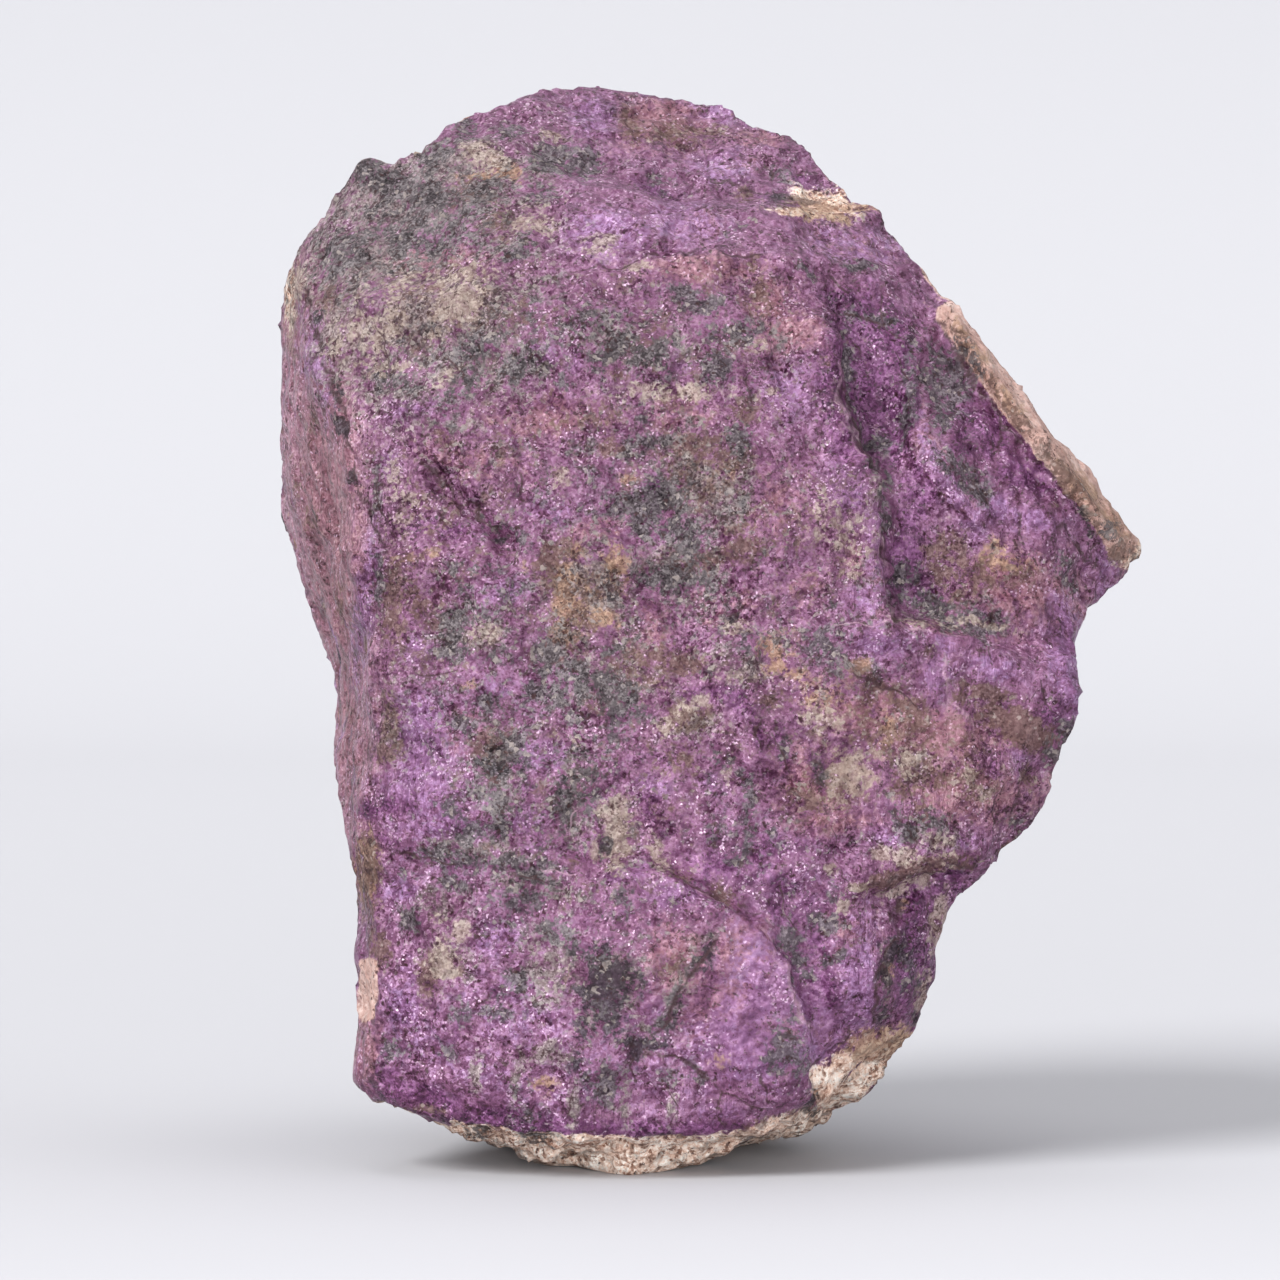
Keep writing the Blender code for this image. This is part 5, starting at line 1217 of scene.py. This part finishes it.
def mineral_colours(graph, textures, shade):
    """The colour of the minerals, and how far each point is covered by a dull one."""
    colour = graph.ramp(shade, MINERALS["purple"])
    dull = 0.0
    for number, (name, (reach, softness, cover)) in enumerate(BREAKUP.items()):
        strength = graph.attribute(name)
        ragged = graph.sum_of([
            (one_of(textures.coarse, number), reach),
            (one_of(textures.fine, number + 1), reach),
            (one_of(textures.grain, number + 2), GRAIN_BREAKUP * reach),
            (textures.small.number, CRYSTAL_BREAKUP * reach),
        ])
        raggedness = graph.math("MULTIPLY_ADD", strength, 1.0 - LEAST_RAGGED, LEAST_RAGGED, clamp=True)
        value = graph.math("MULTIPLY_ADD", ragged, raggedness, strength)
        mask = graph.product(graph.step(value, MIDDLE - softness, MIDDLE + softness), cover)
        colour = graph.mix(mask, colour, graph.ramp(shade, MINERALS[name]))
        if name not in SHINY_MINERALS:
            dull = graph.math("MAXIMUM", dull, mask)
    return colour, dull


def painted_crevice_shades(graph, textures, busy):
    """Painted shade: a dark colour for the shade in cracks and pits between the grains."""
    cracks = graph.sum_of([(textures.fine[0], 1.0), (textures.grain[0], 1.0)], MIDDLE)
    cracks = graph.step(cracks, *CRACK_NOISE)
    cells = graph.cells(textures.warped, PIT_SPACING)
    pits = graph.step(cells.outputs["Distance"], *PIT_SIZE)
    draw = graph.parts_of(cells.outputs["Color"])[0]
    chance = graph.sum_of([(draw, PIT_CELL_CHANCE), (textures.coarse[0], PIT_COARSE_CHANCE)],
                          graph.math("MULTIPLY", busy, MIDDLE))
    pits = graph.product(pits, graph.step(chance, *PIT_CHANCE), PIT_COVER)
    return graph.math("MAXIMUM", graph.math("MULTIPLY", cracks, CRACK_COVER), pits)


def painted_glints(graph, textures, dull):
    """Crystal faces in clusters, where no dull mineral covers the purple, with a painted highlight: a
    pale colour that stands in for their sparkle.
    """
    clusters = graph.sum_of([(textures.coarse[2], SPARKLING_COARSE), (textures.fine[1], 1.0)], MIDDLE)
    return graph.product(
        graph.step(textures.tiny.number, *PAINTED_GLINT_DRAW),
        graph.math("SUBTRACT", 1.0, dull),
        graph.step(clusters, *SPARKLING_NOISE))


def flecks(graph, textures, dull):
    """Pale grains in the dull minerals."""
    return graph.product(
        graph.step(textures.small.number, *FLECK_DRAW),
        dull,
        graph.step(textures.fine[1], *FLECK_NOISE))


def specks(graph, textures):
    """Dark grains in the crust."""
    return graph.product(
        graph.step(textures.small.number, *SPECK_DRAW),
        graph.step(graph.attribute("crust"), *SPECK_CRUST),
        graph.step(textures.fine[0], *SPECK_NOISE))


def drawn_line(graph, name, wiggle):
    """One where a line of this channel runs, and zero beside it."""
    offset = graph.math("ADD", graph.attribute(name + "_offset"), wiggle)
    inside = graph.step(graph.math("ABSOLUTE", offset), *LINE_EDGE)
    return graph.math("MULTIPLY", inside, graph.attribute(name + "_shown"))


def drawn_lines(graph, textures):
    """The pale lines of painted highlight and the dark lines of painted shade, each broken off here and
    there.
    """
    wiggle = graph.sum_of([(textures.fine[2], FINE_WIGGLE), (textures.coarse[2], COARSE_WIGGLE)])
    broken = graph.sum_of([(textures.coarse[0], BROKEN_COARSE), (textures.fine[1], 1.0)], MIDDLE)
    broken = graph.step(broken, *BROKEN_NOISE)
    dark = 0.0
    for name in DARK_CHANNELS:
        dark = graph.math("MAXIMUM", dark, drawn_line(graph, name, wiggle))
    pale = drawn_line(graph, "pale", wiggle)
    return graph.math("MULTIPLY", pale, broken), graph.math("MULTIPLY", dark, broken)


def roughness_of(graph, textures, dull, painted_glint):
    """Dull minerals are rougher, grain varies it, and the faces with a painted highlight are also
    smoother.
    """
    more_when_dull = ROUGHNESS_OF_DULL - ROUGHNESS_OF_PURPLE
    roughness = graph.math("MULTIPLY_ADD", dull, more_when_dull, ROUGHNESS_OF_PURPLE)
    roughness = graph.sum_of([(textures.grain[1], ROUGHNESS_OF_GRAIN)], roughness)
    return graph.math("MULTIPLY_ADD", painted_glint, ROUGHNESS_OF_PAINTED_GLINT, roughness, clamp=True)


def normal_of(graph, textures, lively, streaks):
    """Leaning crystal faces over low lumps and fibres, whose height is in millimetres."""
    broad = graph.vector("ADD", textures.huge.lean, textures.large.lean)
    narrow = graph.vector("ADD", textures.small.lean, textures.tiny.lean)
    lean = graph.scaled(graph.vector("ADD", broad, narrow), lively)
    leaning = graph.vector("ADD", graph.add("ShaderNodeNewGeometry").outputs["Normal"], lean)
    lumps = graph.math("MULTIPLY", textures.lumps, LUMP_RELIEF)
    bump = graph.add("ShaderNodeBump")
    graph.feed(bump.inputs["Height"], graph.math("MULTIPLY_ADD", streaks, STREAK_RELIEF, lumps))
    graph.feed(bump.inputs["Normal"], graph.vector("NORMALIZE", leaning))
    graph.feed(bump.inputs["Distance"], METRES_PER_MILLIMETRE)
    graph.feed(bump.inputs["Strength"], 1.0)
    return bump.outputs["Normal"]


def stone_material():
    material = bpy.data.materials.new("purpurite_stone")
    graph = Graph(material)
    textures = make_textures(graph)
    busy = how_busy(graph)
    lively = how_lively(graph, textures, busy)
    streaks = streaks_of(graph, textures)
    shade = shade_of(graph, textures, lively, streaks)
    colour, dull = mineral_colours(graph, textures, shade)
    # Sparkling faces get a painted highlight in their colour, and are smoother as well.
    painted_glint = painted_glints(graph, textures, dull)
    painted_highlight_line, painted_shade_line = drawn_lines(graph, textures)
    masks = {
        "painted_crevice_shade": painted_crevice_shades(graph, textures, busy),
        "painted_glint": painted_glint,
        "fleck": flecks(graph, textures, dull),
        "speck": specks(graph, textures),
        "painted highlight line": painted_highlight_line,
        "painted shade line": painted_shade_line,
    }
    for name, (cover, mark_colour) in MARKS.items():
        colour = graph.mix(graph.math("MULTIPLY", masks[name], cover), colour, mark_colour)
    shiny = graph.math("SUBTRACT", 1.0, dull)
    shader = graph.nodes["Principled BSDF"]
    graph.feed(shader.inputs["Base Color"], colour)
    graph.feed(shader.inputs["Specular IOR Level"], SHEEN)
    graph.feed(shader.inputs["Roughness"], roughness_of(graph, textures, dull, painted_glint))
    graph.feed(shader.inputs["Metallic"], graph.math("MULTIPLY", shiny, METALLIC_OF_PURPLE))
    graph.feed(shader.inputs["Normal"], normal_of(graph, textures, lively, streaks))
    return material


def make_stone():
    mesh = build_stone_mesh(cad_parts["purpurite"])
    mesh.shade_smooth()
    mesh.materials.clear()
    mesh.materials.append(stone_material())
    stone = bpy.data.objects.new("rough_stone", mesh)
    bpy.context.scene.collection.objects.link(stone)
    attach(stone, "root")
    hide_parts("purpurite")


def make_floor():
    """A floor that bends up into a wall far behind the stone."""
    profile = [(FLOOR_FRONT, 0.0)]
    for number in range(BEND_STEPS + 1):
        angle = math.pi / 2.0 * number / BEND_STEPS
        depth = WALL_DISTANCE - WALL_BEND_RADIUS + WALL_BEND_RADIUS * math.sin(angle)
        profile.append((depth, WALL_BEND_RADIUS * (1.0 - math.cos(angle))))
    profile.append((WALL_DISTANCE, WALL_HEIGHT))
    verts = []
    for depth, height in profile:
        verts.append((-FLOOR_HALF_WIDTH, depth, height))
        verts.append((FLOOR_HALF_WIDTH, depth, height))
    faces = [(2 * row, 2 * row + 1, 2 * row + 3, 2 * row + 2) for row in range(len(profile) - 1)]
    mesh = bpy.data.meshes.new("floor")
    mesh.from_pydata(verts, [], faces)
    mesh.shade_smooth()
    material = bpy.data.materials.new("floor")
    material.use_nodes = True
    shader = material.node_tree.nodes["Principled BSDF"]
    shader.inputs["Base Color"].default_value = FLOOR_COLOUR
    shader.inputs["Roughness"].default_value = FLOOR_ROUGHNESS
    mesh.materials.append(material)
    floor = bpy.data.objects.new("floor", mesh)
    bpy.context.scene.collection.objects.link(floor)


def place_light(light, place, aim):
    holder = bpy.data.objects.new(light.name, light)
    holder.location = place
    holder.rotation_euler = (aim - place).to_track_quat("-Z", "Y").to_euler()
    bpy.context.scene.collection.objects.link(holder)


def add_lamp(name, width, power, place, aim):
    lamp = bpy.data.lights.new(name, "AREA")
    lamp.size = width
    lamp.energy = power
    place_light(lamp, place, aim)


def make_lights():
    world = bpy.data.worlds.new("studio")
    world.use_nodes = True
    background = world.node_tree.nodes["Background"]
    background.inputs["Color"].default_value = WORLD_COLOUR
    background.inputs["Strength"].default_value = WORLD_STRENGTH
    bpy.context.scene.world = world
    for name, (place, size, strength) in SUNS.items():
        sun = bpy.data.lights.new(name, "SUN")
        sun.angle = math.radians(size)
        sun.energy = strength
        place_light(sun, Vector(place), Vector((0.0, 0.0, 0.0)))
    add_lamp("card", CARD_WIDTH, CARD_POWER, CARD_PLACE, CARD_AIM)
    add_lamp("wall", WALL_LAMP_WIDTH, WALL_LAMP_POWER, WALL_LAMP_PLACE, WALL_LAMP_AIM)


def make_camera():
    camera = bpy.data.cameras.new("camera")
    camera.lens = FOCAL_LENGTH
    camera.sensor_width = SENSOR_WIDTH
    camera.shift_y = FRAME_SHIFT / PHOTO_WIDTH
    camera.clip_start = CLIP_START
    camera.clip_end = CLIP_END
    viewer = bpy.data.objects.new("camera", camera)
    viewer.location = Vector(eye_place()) * METRES_PER_MILLIMETRE
    viewer.rotation_euler = (math.pi / 2.0, 0.0, 0.0)
    bpy.context.scene.collection.objects.link(viewer)
    bpy.context.scene.camera = viewer


noise.seed_set(NOISE_SEED)
make_stone()
make_floor()
make_lights()
make_camera()
bpy.context.scene.view_settings.view_transform = "Standard"
